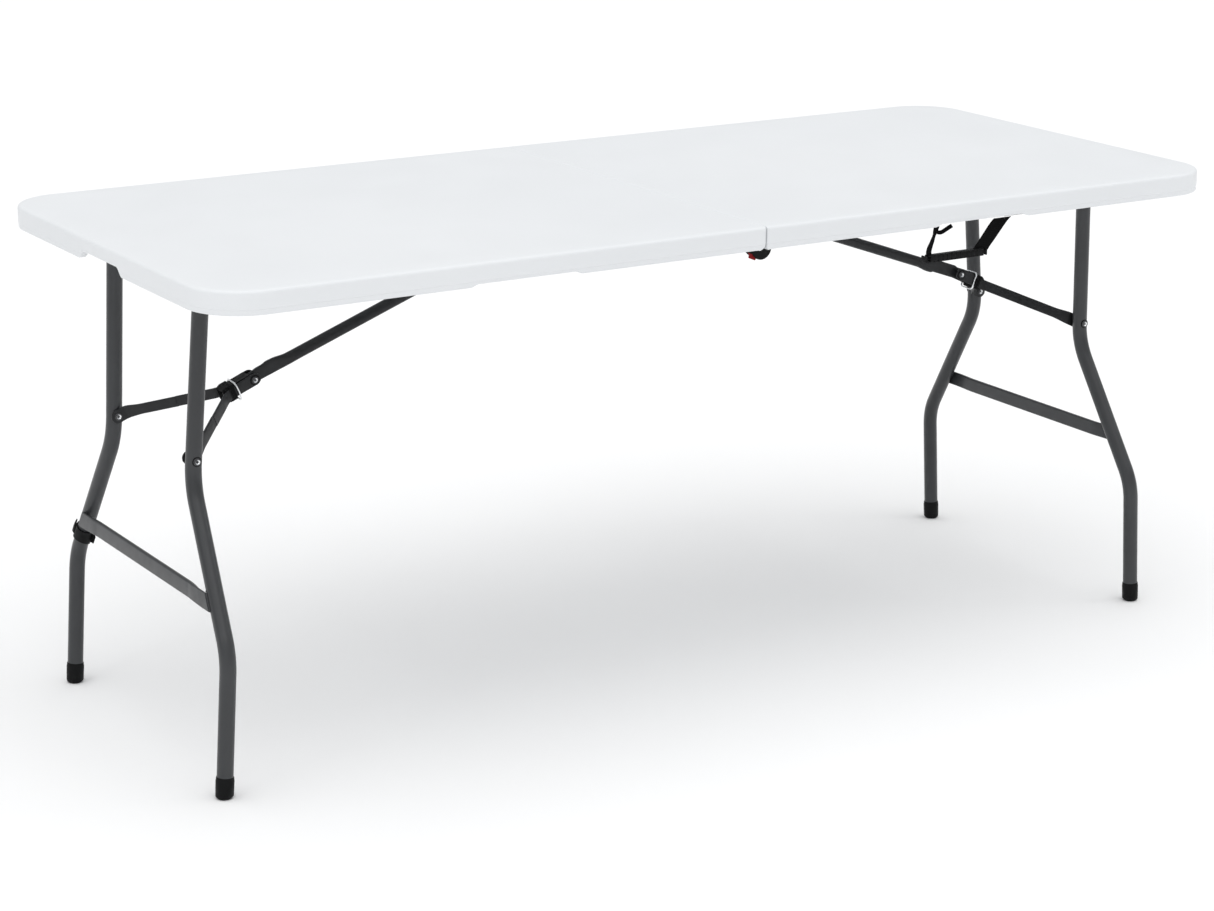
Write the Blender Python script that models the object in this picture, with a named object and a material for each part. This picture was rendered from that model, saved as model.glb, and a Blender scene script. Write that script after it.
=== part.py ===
"""Folding picnic table: two white moulded halves, folding wishbone legs, toggle braces.

Metres, +Z up.  X runs along the table, Y across it, the floor is z = 0 and the
hinge between the halves is at x = 0.  The front, with the carrying handle, is -Y.
"""

from math import acos, atan2, cos, hypot, pi, radians, sin

import bmesh
import bpy
from mathutils import Vector

# Whole table
LENGTH = 1.800
WIDTH = 0.764
HEIGHT = 0.765
SKIRT = 0.036              # depth of the moulded edge
SKIN = 0.005               # thickness of the moulded top
WALL = 0.012               # thickness of the moulded edge
CORNER_R = 0.085
EDGE_R = 0.004
SEAM = 0.0015              # half the gap between the two halves
GAP = 0.0003               # air between pieces that touch

UNDERSIDE = HEIGHT - SKIN
RIM = HEIGHT - SKIRT

# Notches moulded into the skirt: where they start, end and how high they go
SIDE_NOTCH = (0.319, 0.503, 0.004)
SIDE_NOTCH_RAMP = 0.013
END_NOTCH = (0.078, 0.0125)
END_NOTCH_RAMP = 0.018

# Leg frames
PIVOT = Vector((0.8097, 0.0, 0.7465))
FOOT_X = 0.8554
LEG_R = 0.0122
LEG_WALL = 0.0013
LEG_TOP_Y = 0.1545
KNEE = (0.1421, 0.4326)    # y, z where the legs turn outwards
ANKLE = (0.2770, 0.2108)   # y, z where they turn down again
FOOT_Y = 0.2777
KNEE_R = 0.110
ANKLE_R = 0.100
AXLE_R = 0.010
AXLE_END = 0.3640
CAP_R = 0.0133
CAP_H = 0.032
CAP_FLOOR = 0.004
BAR_Z = 0.282
BAR_H = 0.025
BAR_T = 0.0050
BAR_RUN = 0.0110           # how far the bar stands outside the leg plane

# Toggle brace: rivet on the leg, anchor under the table, knuckle between them
RIVET_Z = 0.467
ANCHOR = Vector((0.083, 0.0, 0.7505))
KNUCKLE_RISE = {-1: 0.0055, 1: 0.0145}  # above the line from anchor to rivet, standing
FOLD_DEG = 93.4            # leg travel from standing to lying under the top
BRACE_R = 0.0088
BRACE_FLAT_Y = 0.004
BRACE_FLAT_Z = 0.008
EYE_R = 0.007
CHEEK_Y = 0.0093           # inside of the clevis
CHEEK_T = 0.0016
CLEVIS_BACK = 0.050
CLEVIS_FRONT = 0.008
CLEVIS_WEB = 0.004         # where the bridge over the clevis starts
CHEEK_LOW = -0.0078
ARM_T = 0.0020
ARM_H = 0.0156
ARM_END_Y = 0.1285
ARM_STRAIGHT = 0.045
ARM_SPREAD = 0.150
ARM_TIP = 0.008
PIN_R = 0.0030
HEAD_R = 0.0060
HEAD_H = 0.0022

# Lock ring, a wire loop round the clevis
RING_AT = 0.031
RING_HANG = 0.0018          # the loose ring's centre below the middle of the yoke
RING_DROP = 0.0040          # most the ring may hang below the brace
RING_Y = 0.0152
RING_Z = 0.0145
RING_WIRE = 0.0011
RING_CORNER = 0.003

# Rails, bushes and the hinge between the halves
RAIL_T = 0.003
RAIL_Y = {-1: 0.3545, 1: 0.3580}
RAIL_TOP = 0.7597
RAIL_LOW = 0.7375
RAIL_FAR = 0.840
HINGE_EYE_R = 0.009
HINGE_PIN_R = 0.0035
COVER_R = 0.0175
COVER_Y = (0.3614, 0.3644)
BUSH_R = 0.0115
BUSH_FLANGE_R = 0.0129

# Red latch lever in front of the hinge cover
LATCH_PIVOT = Vector((-0.0290, -0.3658, 0.7390))
LATCH_Y = (0.3647, 0.3674)
LATCH_TAB = ((-0.0185, 0.7250), (-0.0175, 0.7110), (-0.0065, 0.7100), (-0.0060, 0.7160),
             (-0.0140, 0.7290), (-0.0240, 0.7410))

# Carrying handle, hanging from the front of the right half
HANDLE_Y = -0.3655
HANDLE_PIVOT_Z = 0.7270
GRIP_X = (0.3085, 0.4290)
GRIP_Z = 0.6772
GRIP_R = 0.0066
STRAP_T = 0.0018
STRAP_SWING = 0.0017       # room the folded end of a strap needs under its anchor
STRAPS = {
    "left": ((0.3140, 0.3270), (0.3240, 0.3400)),
    "right": ((0.4075, 0.4350), (0.4430, 0.5110)),
}

# Transport clip on the far left leg
CLIP_Z = (0.238, 0.266)
CLIP_R = 0.0144

TUBE_SIDES = 16
SMALL_SIDES = 12


def clear_scene():
    for obj in list(bpy.data.objects):
        bpy.data.objects.remove(obj, do_unlink=True)


def collection(name):
    coll = bpy.data.collections.new(name)
    bpy.context.scene.collection.children.link(coll)
    return coll


def material(name, colour, roughness, metallic=0.0):
    mat = bpy.data.materials.new(name)
    mat.use_nodes = True
    shader = mat.node_tree.nodes["Principled BSDF"]
    shader.inputs["Base Color"].default_value = (*colour, 1.0)
    shader.inputs["Roughness"].default_value = roughness
    shader.inputs["Metallic"].default_value = metallic
    return mat


clear_scene()
PARTS = collection("folding_picnic_table")
CUTTERS = collection("cutters")
CUTTERS.hide_render = True

HDPE = material("white_polyethylene", (0.86, 0.87, 0.89), 0.45)
STEEL = material("grey_powder_coat", (0.10, 0.105, 0.11), 0.45, 0.2)
DARK_STEEL = material("dark_powder_coat", (0.05, 0.052, 0.055), 0.45, 0.2)
BLACK = material("black_plastic", (0.02, 0.02, 0.02), 0.5)
ZINC = material("zinc_plate", (0.62, 0.62, 0.60), 0.3, 1.0)
RED = material("red_plastic", (0.55, 0.03, 0.03), 0.4)
WEBBING = material("black_webbing", (0.025, 0.025, 0.027), 0.8)


def place(name, bm, mat, origin, target=None):
    """Make an object from world-space mesh, with its origin on the axis it turns about."""
    bmesh.ops.remove_doubles(bm, verts=bm.verts, dist=0.00001)
    bmesh.ops.recalc_face_normals(bm, faces=bm.faces)
    origin = Vector(origin)
    bmesh.ops.translate(bm, verts=bm.verts, vec=-origin)
    mesh = bpy.data.meshes.new(name)
    bm.to_mesh(mesh)
    bm.free()
    obj = bpy.data.objects.new(name, mesh)
    obj.location = origin
    if mat is not None:
        mesh.materials.append(mat)
    (target or PARTS).objects.link(obj)
    return obj


def cut(obj, name, bm):
    """Take a cutter's shape out of an object."""
    cutter = place("cut_" + name, bm, None, (0, 0, 0), CUTTERS)
    cutter.display_type = "WIRE"
    cutter.hide_render = True
    mod = obj.modifiers.new(name, "BOOLEAN")
    mod.operation = "DIFFERENCE"
    mod.solver = "EXACT"
    mod.object = cutter


def loft(loops, closed=False):
    """Skin a list of point loops; the two ends are filled unless the loft closes on itself."""
    bm = bmesh.new()
    rings = [[bm.verts.new(p) for p in loop] for loop in loops]
    pairs = list(zip(rings, rings[1:]))
    if closed:
        pairs.append((rings[-1], rings[0]))
    for low, high in pairs:
        for i in range(len(low)):
            j = (i + 1) % len(low)
            bm.faces.new((low[i], low[j], high[j], high[i]))
    if not closed:
        bm.faces.new(rings[0])
        bm.faces.new(rings[-1])
    return bm


def prism(outline, axis, low, high):
    """Extrude a flat outline along X, Y or Z."""
    def at(u, v, w):
        return {"X": (w, u, v), "Y": (u, w, v), "Z": (u, v, w)}[axis]

    return loft([[at(u, v, w) for u, v in outline] for w in (low, high)])


def box(x, y, z):
    return prism([(x[0], y[0]), (x[1], y[0]), (x[1], y[1]), (x[0], y[1])], "Z", *z)


def arc(centre, radius, start, stop, steps):
    """Points on an arc, in degrees, both ends included."""
    angles = [radians(start + (stop - start) * i / steps) for i in range(steps + 1)]
    return [(centre[0] + radius * cos(a), centre[1] + radius * sin(a)) for a in angles]


def circle(centre, normal, radius, sides):
    """A circle of points round a centre, square to a direction."""
    normal = Vector(normal).normalized()
    helper = Vector((0, 1, 0)) if abs(normal.y) < 0.7 else Vector((1, 0, 0))
    u = helper.cross(normal).normalized()
    v = normal.cross(u)
    centre = Vector(centre)
    turns = [2 * pi * i / sides for i in range(sides)]
    return [centre + u * radius * cos(t) + v * radius * sin(t) for t in turns]


def lathe(centre, axis, profile, sides, closed=False):
    """Turn a profile of (along, radius) pairs round an axis; closed makes a ring."""
    axis = Vector(axis).normalized()
    loops = [circle(Vector(centre) + axis * along, axis, radius, sides)
             for along, radius in profile]
    return loft(loops, closed)


def fillet(points, radii, steps):
    """Round the inner corners of a polyline, each with its own radius."""
    out = [points[0]]
    for before, here, after, radius in zip(points, points[1:], points[2:], radii):
        a = (before - here).normalized()
        b = (after - here).normalized()
        half = a.angle(b) / 2
        reach = radius / abs(sin(half) / cos(half))
        start = here + a * reach
        end = here + b * reach
        for i in range(steps + 1):
            t = i / steps
            out.append(start * (1 - t) ** 2 + here * 2 * t * (1 - t) + end * t ** 2)
    out.append(points[-1])
    return out


def directions(path):
    """The running direction at each point of a path."""
    steps = [(b - a).normalized() for a, b in zip(path, path[1:])]
    joined = [(a + b).normalized() for a, b in zip(steps, steps[1:])]
    return [steps[0]] + joined + [steps[-1]]


def tube(path, radius, wall, sides):
    """A hollow tube with open ends along a path."""
    runs = directions(path)
    outer = [circle(p, d, radius, sides) for p, d in zip(path, runs)]
    inner = [circle(p, d, radius - wall, sides) for p, d in zip(path, runs)]
    return loft(outer + inner[::-1], closed=True)


def flat_bar(path, up, thickness, height):
    """A bar of rectangular section along a path, kept upright along up."""
    loops = []
    for point, run in zip(path, directions(path)):
        side = run.cross(up).normalized() * thickness / 2
        rise = up * height / 2
        loops.append([point + side + rise, point - side + rise,
                      point - side - rise, point + side - rise])
    return loft(loops)


def half_outline(sx, inset, z):
    """Plan of one half: square corners at the seam, round ones at the end."""
    x0 = SEAM
    x1 = LENGTH / 2 - inset
    y1 = WIDTH / 2 - inset
    r = max(CORNER_R - inset, 0.01)
    points = [(x0, -y1)]
    points += arc((x1 - r, -y1 + r), r, -90, 0, 8)
    points += arc((x1 - r, y1 - r), r, 0, 90, 8)
    points += [(x0, y1)]
    return [(sx * x, y, z) for x, y in points]


def cavity_outline(sx, z):
    """Plan of the hollow under one half."""
    x0 = SEAM + WALL
    x1 = LENGTH / 2 - WALL
    y1 = WIDTH / 2 - WALL
    r = CORNER_R - WALL
    points = [(x0, -y1)]
    points += arc((x1 - r, -y1 + r), r, -90, 0, 7)
    points += arc((x1 - r, y1 - r), r, 0, 90, 7)
    points += [(x0, y1)]
    return [(sx * x, y, z) for x, y in points]


HINGE = Vector((0.0, 0.0, RIM))
SIDES = {-1: "left", 1: "right"}
ENDS = {-1: "front", 1: "back"}


def mirrored(vector, sx):
    return Vector((sx * vector.x, vector.y, vector.z))


def leg_x(z):
    """Distance of the splayed leg plane from the middle at a height."""
    return PIVOT.x + (FOOT_X - PIVOT.x) * (PIVOT.z - z) / PIVOT.z


def leg_y(z):
    """Distance of a leg from the middle plane at a height above the ankle."""
    if z >= KNEE[1]:
        t = (z - KNEE[1]) / (PIVOT.z - KNEE[1])
        return KNEE[0] + (LEG_TOP_Y - KNEE[0]) * t
    t = (z - ANKLE[1]) / (KNEE[1] - ANKLE[1])
    return ANKLE[0] + (KNEE[0] - ANKLE[0]) * t


def find_knuckle(sx):
    """Standing knuckle of one toggle whose two links lie on one line when folded."""
    reach = (RIVET - PIVOT).xz.length
    start = atan2(RIVET.z - PIVOT.z, RIVET.x - PIVOT.x)
    turned = start - radians(FOLD_DEG)
    folded = Vector((PIVOT.x + reach * cos(turned), 0.0, PIVOT.z + reach * sin(turned)))
    open_span = (RIVET - ANCHOR).length
    shut_span = (folded - ANCHOR).length
    yoke = (open_span - shut_span) / 2
    brace = (open_span + shut_span) / 2
    slack = KNUCKLE_RISE[sx] ** 2 * (1 / yoke + 1 / brace) / 4
    yoke += slack
    brace += slack
    slope = atan2(RIVET.z - ANCHOR.z, RIVET.x - ANCHOR.x)
    slope += acos((brace ** 2 + open_span ** 2 - yoke ** 2) / (2 * brace * open_span))
    return ANCHOR + Vector((cos(slope), 0.0, sin(slope))) * brace


RIVET = Vector((leg_x(RIVET_Z), 0.0, RIVET_Z))
KNUCKLE = {sx: find_knuckle(sx) for sx in SIDES}


def make_half(sx):
    side = SIDES[sx]
    origin = HINGE
    loops = [half_outline(sx, 0.0008, RIM), half_outline(sx, 0.0, RIM + 0.002)]
    loops += [half_outline(sx, EDGE_R * (1 - cos(radians(a))),
                           HEIGHT - EDGE_R * (1 - sin(radians(a)))) for a in (0, 30, 60, 90)]
    top = place(side + "_top", loft(loops), HDPE, origin)
    cut(top, side + "_hollow",
        loft([cavity_outline(sx, RIM - 0.01), cavity_outline(sx, UNDERSIDE)]))

    start, stop, rise = SIDE_NOTCH
    notch = [(start, RIM - 0.01), (start, RIM), (start + SIDE_NOTCH_RAMP, RIM + rise),
             (stop - SIDE_NOTCH_RAMP, RIM + rise), (stop, RIM), (stop, RIM - 0.01)]
    cut(top, side + "_side_notch",
        prism([(sx * x, z) for x, z in notch], "Y", -WIDTH, WIDTH))

    half, rise = END_NOTCH
    flat = half - END_NOTCH_RAMP
    notch = [(-half, RIM - 0.01), (-half, RIM), (-flat, RIM + rise),
             (flat, RIM + rise), (half, RIM), (half, RIM - 0.01)]
    ends = sorted((sx * (LENGTH / 2 - 0.03), sx * (LENGTH / 2 + 0.01)))
    cut(top, side + "_end_notch", prism(notch, "X", *ends))

    for sy in ENDS:
        pocket_y = sorted((sy * 0.3480, sy * 0.3701))
        pocket_x = sorted((0.0, sx * 0.030))
        cut(top, side + "_hinge_pocket_" + ENDS[sy],
            box(pocket_x, pocket_y, (RIM - 0.01, UNDERSIDE)))

        y0 = RAIL_Y[sx]
        outline = [(RAIL_FAR, RAIL_LOW), (RAIL_FAR, RAIL_TOP), (0.014, RAIL_TOP)]
        outline += arc((0.0, HINGE.z), HINGE_EYE_R, 90, 300, 7)
        outline += [(0.030, RAIL_LOW)]
        plate = sorted((sy * y0, sy * (y0 + RAIL_T)))
        rail = place(f"{side}_rail_{ENDS[sy]}",
                     prism([(sx * x, z) for x, z in outline], "Y", *plate), STEEL, origin)
        through = [(y0 - 0.01, BUSH_R + GAP), (y0 + 0.02, BUSH_R + GAP)]
        cut(rail, f"{side}_axle_hole_{ENDS[sy]}",
            lathe(mirrored(PIVOT, sx), (0, sy, 0), through, TUBE_SIDES))
        through = [(y0 - 0.01, HINGE_PIN_R + GAP), (y0 + 0.02, HINGE_PIN_R + GAP)]
        cut(rail, f"{side}_hinge_hole_{ENDS[sy]}",
            lathe(HINGE, (0, sy, 0), through, SMALL_SIDES))

        flange = y0 - GAP
        bush = [(flange - 0.0016, AXLE_R + GAP), (flange - 0.0016, BUSH_FLANGE_R),
                (flange, BUSH_FLANGE_R), (flange, BUSH_R),
                (y0 + RAIL_T, BUSH_R), (y0 + RAIL_T, AXLE_R + GAP)]
        place(f"{side}_axle_bush_{ENDS[sy]}",
              lathe(mirrored(PIVOT, sx), (0, sy, 0), bush, TUBE_SIDES, closed=True),
              BLACK, origin)

    lug, foot, plate = 0.0125, 0.032, 0.0015
    hat_low = ANCHOR.z - 0.007
    hat_top = RAIL_TOP
    hat = [(-foot, hat_top), (foot, hat_top), (foot, hat_top - plate),
           (lug + plate, hat_top - plate), (lug + plate, hat_low), (lug, hat_low),
           (lug, hat_top - plate), (-lug, hat_top - plate), (-lug, hat_low),
           (-lug - plate, hat_low), (-lug - plate, hat_top - plate),
           (-foot, hat_top - plate)]
    span = sorted((sx * (ANCHOR.x - 0.009), sx * (ANCHOR.x + 0.009)))
    bracket = place(side + "_brace_bracket", prism(hat, "X", *span), STEEL, origin)
    cut(bracket, side + "_bracket_hole",
        lathe(mirrored(ANCHOR, sx), (0, 1, 0),
              [(-0.05, PIN_R + GAP), (0.05, PIN_R + GAP)], SMALL_SIDES))
    place(side + "_brace_pin", pin(mirrored(ANCHOR, sx), lug + plate + GAP), ZINC, origin)


def pin(centre, reach):
    """A rivet along Y with a head at each end, its heads starting at reach."""
    profile = [(-reach - HEAD_H, HEAD_R * 0.6), (-reach - HEAD_H * 0.5, HEAD_R),
               (-reach, HEAD_R), (-reach, PIN_R), (reach, PIN_R), (reach, HEAD_R),
               (reach + HEAD_H * 0.5, HEAD_R), (reach + HEAD_H, HEAD_R * 0.6)]
    return lathe(centre, (0, 1, 0), profile, SMALL_SIDES)


def make_hinge():
    for sy, end in ENDS.items():
        inner = RAIL_Y[-1] - GAP
        outer = COVER_Y[1] + GAP
        profile = [(inner - 0.002, 0.0055), (inner, 0.0055), (inner, HINGE_PIN_R),
                   (outer, HINGE_PIN_R)]
        if sy > 0:
            profile += [(outer, 0.0055), (outer + 0.0016, 0.0055)]
        place("hinge_pin_" + end, lathe(HINGE, (0, sy, 0), profile, SMALL_SIDES), ZINC, HINGE)
        ring = [(COVER_Y[0], HINGE_PIN_R + GAP), (COVER_Y[0], COVER_R),
                (COVER_Y[1], COVER_R), (COVER_Y[1], HINGE_PIN_R + GAP)]
        place("hinge_cover_" + end,
              lathe(HINGE, (0, sy, 0), ring, 24, closed=True), BLACK, HINGE)


def make_latch():
    lever = prism(LATCH_TAB, "Y", -LATCH_Y[1], -LATCH_Y[0])
    place("latch_lever", lever, RED, LATCH_PIVOT)


def make_legs(sx):
    side = SIDES[sx]
    origin = mirrored(PIVOT, sx)
    along_y = [Vector((origin.x, -AXLE_END, origin.z)), Vector((origin.x, AXLE_END, origin.z))]
    place(side + "_leg_axle", tube(along_y, AXLE_R, 0.0015, TUBE_SIDES), STEEL, origin)

    for sy, end in ENDS.items():
        top_z = PIVOT.z - AXLE_R - 0.0006
        marks = [(leg_y(top_z), top_z), KNEE, ANKLE, (FOOT_Y, CAP_FLOOR + 0.001)]
        marks = [Vector((sx * leg_x(z), sy * y, z)) for y, z in marks]
        leg = place(f"{side}_leg_{end}",
                    tube(fillet(marks, (KNEE_R, ANKLE_R), 4), LEG_R, LEG_WALL, TUBE_SIDES),
                    STEEL, origin)
        centre = Vector((sx * RIVET.x, sy * leg_y(RIVET_Z), RIVET_Z))
        cut(leg, f"{side}_rivet_hole_{end}",
            lathe(centre, (0, sy, 0), [(-0.03, PIN_R + GAP), (0.03, PIN_R + GAP)],
                  SMALL_SIDES))
        tip = ARM_END_Y + ARM_T / 2 + 0.0006 - abs(centre.y)
        head = LEG_R + GAP
        profile = [(tip, PIN_R), (head, PIN_R), (head, HEAD_R),
                   (head + HEAD_H * 0.5, HEAD_R), (head + HEAD_H, HEAD_R * 0.6)]
        place(f"{side}_leg_rivet_{end}", lathe(centre, (0, sy, 0), profile, SMALL_SIDES),
              ZINC, origin)

        foot = Vector((sx * FOOT_X, sy * FOOT_Y, 0.0))
        lean = (Vector((sx * leg_x(CAP_H), sy * FOOT_Y, CAP_H)) - foot).normalized()
        bore = LEG_R + GAP
        loops = [circle(foot, (0, 0, 1), CAP_R - 0.0012, TUBE_SIDES)]
        loops += [circle(foot + lean * h, lean, r, TUBE_SIDES)
                  for h, r in ((0.002, CAP_R), (CAP_H, CAP_R), (CAP_H, bore),
                               (CAP_FLOOR, bore))]
        place(f"{side}_foot_cap_{end}", loft(loops), BLACK, origin)

    lap = LEG_R + GAP + BAR_T / 2
    mid = leg_y(BAR_Z)
    marks = [(-mid - 0.010, lap), (-mid + 0.028, lap), (-mid + 0.068, BAR_RUN),
             (mid - 0.068, BAR_RUN), (mid - 0.028, lap), (mid + 0.010, lap)]
    path = [Vector((sx * (leg_x(BAR_Z) + off), y, BAR_Z)) for y, off in marks]
    lean = Vector((sx * (leg_x(1.0) - leg_x(0.0)), 0.0, 1.0)).normalized()
    place(side + "_crossbar", flat_bar(path, lean, BAR_T, BAR_H), STEEL, origin)


def make_clip():
    """Snap clip on the far left leg, open towards the middle of the table."""
    centre_z = sum(CLIP_Z) / 2
    centre = Vector((-leg_x(centre_z), leg_y(centre_z), centre_z))
    run = Vector((-(leg_x(0.2) - leg_x(0.3)), leg_y(0.2) - leg_y(0.3), -0.1)).normalized()
    out = Vector((-1.0, 0.0, 0.0))
    out = (out - run * out.dot(run)).normalized()
    across = run.cross(out)
    bore = LEG_R + GAP
    outline = arc((0, 0), CLIP_R, 55, 305, 12) + arc((0, 0), bore, 305, 55, 12)
    reach = (CLIP_Z[1] - CLIP_Z[0]) / 2
    loops = [[centre + run * s - out * u + across * v for u, v in
              outline] for s in (-reach, reach)]
    place("transport_clip", loft(loops), BLACK, mirrored(PIVOT, -1))


def link_frame(sx, start, end):
    """Length, outward direction and up direction of one standing toggle link."""
    run = (end - start).normalized()
    return (end - start).length, mirrored(run, sx), Vector((-sx * run.z, 0.0, run.x))


def make_brace(sx):
    side = SIDES[sx]
    knuckle = mirrored(KNUCKLE[sx], sx)
    anchor = mirrored(ANCHOR, sx)
    total, along, up = link_frame(sx, ANCHOR, KNUCKLE[sx])
    across = Vector((0, 1, 0))
    stations = [(-EYE_R, BRACE_FLAT_Y, EYE_R * 0.5), (-EYE_R * 0.6, BRACE_FLAT_Y, EYE_R * 0.85),
                (0.0, BRACE_FLAT_Y, EYE_R), (0.022, BRACE_FLAT_Y, EYE_R),
                (0.034, BRACE_R * 0.85, BRACE_R * 0.95), (0.045, BRACE_R, BRACE_R),
                (total - 0.072, BRACE_R, BRACE_R),
                (total - 0.060, BRACE_R * 0.85, BRACE_R * 0.95),
                (total - 0.046, BRACE_FLAT_Y, BRACE_FLAT_Z), (total, BRACE_FLAT_Y, BRACE_FLAT_Z),
                (total + 0.0048, BRACE_FLAT_Y, BRACE_FLAT_Z * 0.85),
                (total + 0.008, BRACE_FLAT_Y, BRACE_FLAT_Z * 0.5)]
    loops = []
    for s, half_y, half_z in stations:
        centre = anchor + along * s
        turns = [2 * pi * (i + 0.5) / TUBE_SIDES for i in range(TUBE_SIDES)]
        loops.append([centre + across * half_y * cos(t) + up * half_z * sin(t) for t in turns])
    brace = place(side + "_brace", loft(loops), DARK_STEEL, anchor)
    hole = [(-0.02, PIN_R + GAP), (0.02, PIN_R + GAP)]
    cut(brace, side + "_brace_eye", lathe(anchor, across, hole, SMALL_SIDES))
    cut(brace, side + "_brace_knuckle", lathe(knuckle, across, hole, SMALL_SIDES))

    reach_y, reach_z = RING_Y - RING_CORNER, RING_Z - RING_CORNER
    corners = []
    for k, (sy, sz) in enumerate(((1, 1), (-1, 1), (-1, -1), (1, -1))):
        corners += arc((sy * reach_y, sz * reach_z), RING_CORNER, 90 * k, 90 * (k + 1), 3)
    offset = link_frame(sx, KNUCKLE[sx], RIVET)[1] * RING_AT
    drop = max(offset.dot(up) - RING_HANG, -RING_DROP)
    centre = knuckle + along * offset.dot(along) + up * drop
    loops = []
    for k, (y, z) in enumerate(corners):
        before = corners[k - 1]
        after = corners[(k + 1) % len(corners)]
        run = across * (after[0] - before[0]) + up * (after[1] - before[1])
        loops.append(ring_section(centre + across * y + up * z, run.normalized(), along))
    place(side + "_lock_ring", loft(loops, closed=True), ZINC, centre)


def ring_section(point, run, along):
    side = run.cross(along)
    turns = [2 * pi * i / 6 for i in range(6)]
    return [point + along * RING_WIRE * cos(t) + side * RING_WIRE * sin(t) for t in turns]


def make_yoke(sx):
    side = SIDES[sx]
    knuckle = mirrored(KNUCKLE[sx], sx)
    length, along, up = link_frame(sx, KNUCKLE[sx], RIVET)
    across = Vector((0, 1, 0))
    inner, outer = CHEEK_Y, CHEEK_Y + CHEEK_T
    low = CHEEK_LOW
    channel = [(-outer, low), (-outer, outer), (outer, outer), (outer, low),
               (inner, low), (inner, inner), (-inner, inner), (-inner, low)]
    loops = [[knuckle + along * s + across * y + up * z for y, z in channel]
             for s in (-CLEVIS_FRONT, CLEVIS_BACK)]
    clevis = place(side + "_clevis", loft(loops), BLACK, knuckle)
    notch_y, notch_z = outer + 0.001, (ARM_H / 2, outer + 0.001)
    corners = [(-notch_y, notch_z[0]), (notch_y, notch_z[0]),
               (notch_y, notch_z[1]), (-notch_y, notch_z[1])]
    cut(clevis, side + "_clevis_front",
        loft([[knuckle + along * s + across * y + up * z for y, z in corners]
              for s in (-CLEVIS_FRONT - 0.001, CLEVIS_WEB)]))
    hole = [(-0.05, PIN_R + GAP), (0.05, PIN_R + GAP)]
    cut(clevis, side + "_clevis_hole", lathe(knuckle, across, hole, SMALL_SIDES))
    arm_y = outer + GAP + ARM_T / 2
    place(side + "_knuckle_rivet", pin(knuckle, arm_y + ARM_T / 2 + GAP), ZINC, knuckle)

    for sy, end in ENDS.items():
        marks = [(-ARM_TIP, arm_y), (ARM_STRAIGHT, arm_y), (ARM_SPREAD, ARM_END_Y),
                 (length + ARM_TIP, ARM_END_Y)]
        path = [knuckle + along * s + across * sy * y for s, y in marks]
        arm = place(f"{side}_yoke_arm_{end}", flat_bar(path, up, ARM_T, ARM_H),
                    DARK_STEEL, knuckle)
        cut(arm, f"{side}_arm_hole_{end}", lathe(knuckle, (0, sy, 0),
            [(0.005, PIN_R + GAP), (0.03, PIN_R + GAP)], SMALL_SIDES))
        rivet = mirrored(RIVET, sx)
        face = ARM_END_Y - ARM_T / 2 - GAP
        head = [(face, HEAD_R), (face - HEAD_H * 0.5, HEAD_R), (face - HEAD_H, HEAD_R * 0.6)]
        place(f"{side}_arm_rivet_{end}", lathe(rivet, (0, sy, 0), head, SMALL_SIDES),
              ZINC, knuckle)


def make_handle():
    pivot = Vector((0.40, HANDLE_Y, HANDLE_PIVOT_Z))
    start = Vector((GRIP_X[0], HANDLE_Y, GRIP_Z))
    length = GRIP_X[1] - GRIP_X[0]
    profile = [(0.0, GRIP_R * 0.7), (0.002, GRIP_R), (length - 0.002, GRIP_R),
               (length, GRIP_R * 0.7)]
    place("handle_grip", lathe(start, (1, 0, 0), profile, SMALL_SIDES), BLACK, pivot)
    strap_low = GRIP_Z + GRIP_R + GAP
    strap_top = HANDLE_PIVOT_Z + STRAP_T / 2
    y = (HANDLE_Y - STRAP_T / 2, HANDLE_Y + STRAP_T / 2)
    for name, (low, high) in STRAPS.items():
        outline = [(low[0], strap_low), (low[1], strap_low), (high[1], strap_top),
                   (high[0], strap_top)]
        place("handle_strap_" + name, prism(outline, "Y", *y), WEBBING, pivot)
        anchor = box(high, y, (HANDLE_PIVOT_Z + STRAP_SWING, RAIL_TOP))
        place("handle_anchor_" + name, anchor, BLACK, HINGE)


for sign in SIDES:
    make_half(sign)
    make_legs(sign)
    make_brace(sign)
    make_yoke(sign)
make_hinge()
make_latch()
make_clip()
make_handle()
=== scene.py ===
"""Looks of the folding picnic table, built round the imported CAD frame."""

from math import acos, atan2, cos, pi, radians, sin, sqrt

import bmesh
import bpy
from mathutils import Matrix, Vector, noise


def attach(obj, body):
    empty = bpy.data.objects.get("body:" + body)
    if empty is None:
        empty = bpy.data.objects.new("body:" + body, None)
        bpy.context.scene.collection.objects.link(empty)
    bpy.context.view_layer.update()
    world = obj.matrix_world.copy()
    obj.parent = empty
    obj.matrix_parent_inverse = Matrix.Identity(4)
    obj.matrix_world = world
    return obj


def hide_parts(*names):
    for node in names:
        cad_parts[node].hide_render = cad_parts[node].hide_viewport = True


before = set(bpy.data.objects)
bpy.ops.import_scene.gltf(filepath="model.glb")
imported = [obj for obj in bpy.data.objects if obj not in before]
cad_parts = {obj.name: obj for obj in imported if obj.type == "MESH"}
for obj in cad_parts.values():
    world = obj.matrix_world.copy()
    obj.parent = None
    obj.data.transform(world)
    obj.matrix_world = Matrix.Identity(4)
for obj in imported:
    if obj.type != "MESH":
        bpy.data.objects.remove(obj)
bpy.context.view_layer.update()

# ---- dimensions, metres, as in the CAD
LENGTH, WIDTH, HEIGHT = 1.800, 0.764, 0.765
UNDERSIDE, RIM = 0.760, 0.729
CORNER_R = 0.085
SIDE_NOTCH, SIDE_NOTCH_RAMP, SIDE_NOTCH_RISE = (0.319, 0.490), 0.013, 0.004
END_NOTCH, END_NOTCH_RAMP, END_NOTCH_RISE = 0.078, 0.018, 0.0125
GAP = 0.0003
PIVOT = Vector((0.8097, 0.0, 0.7465))
FOOT_X = 0.8554
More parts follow.
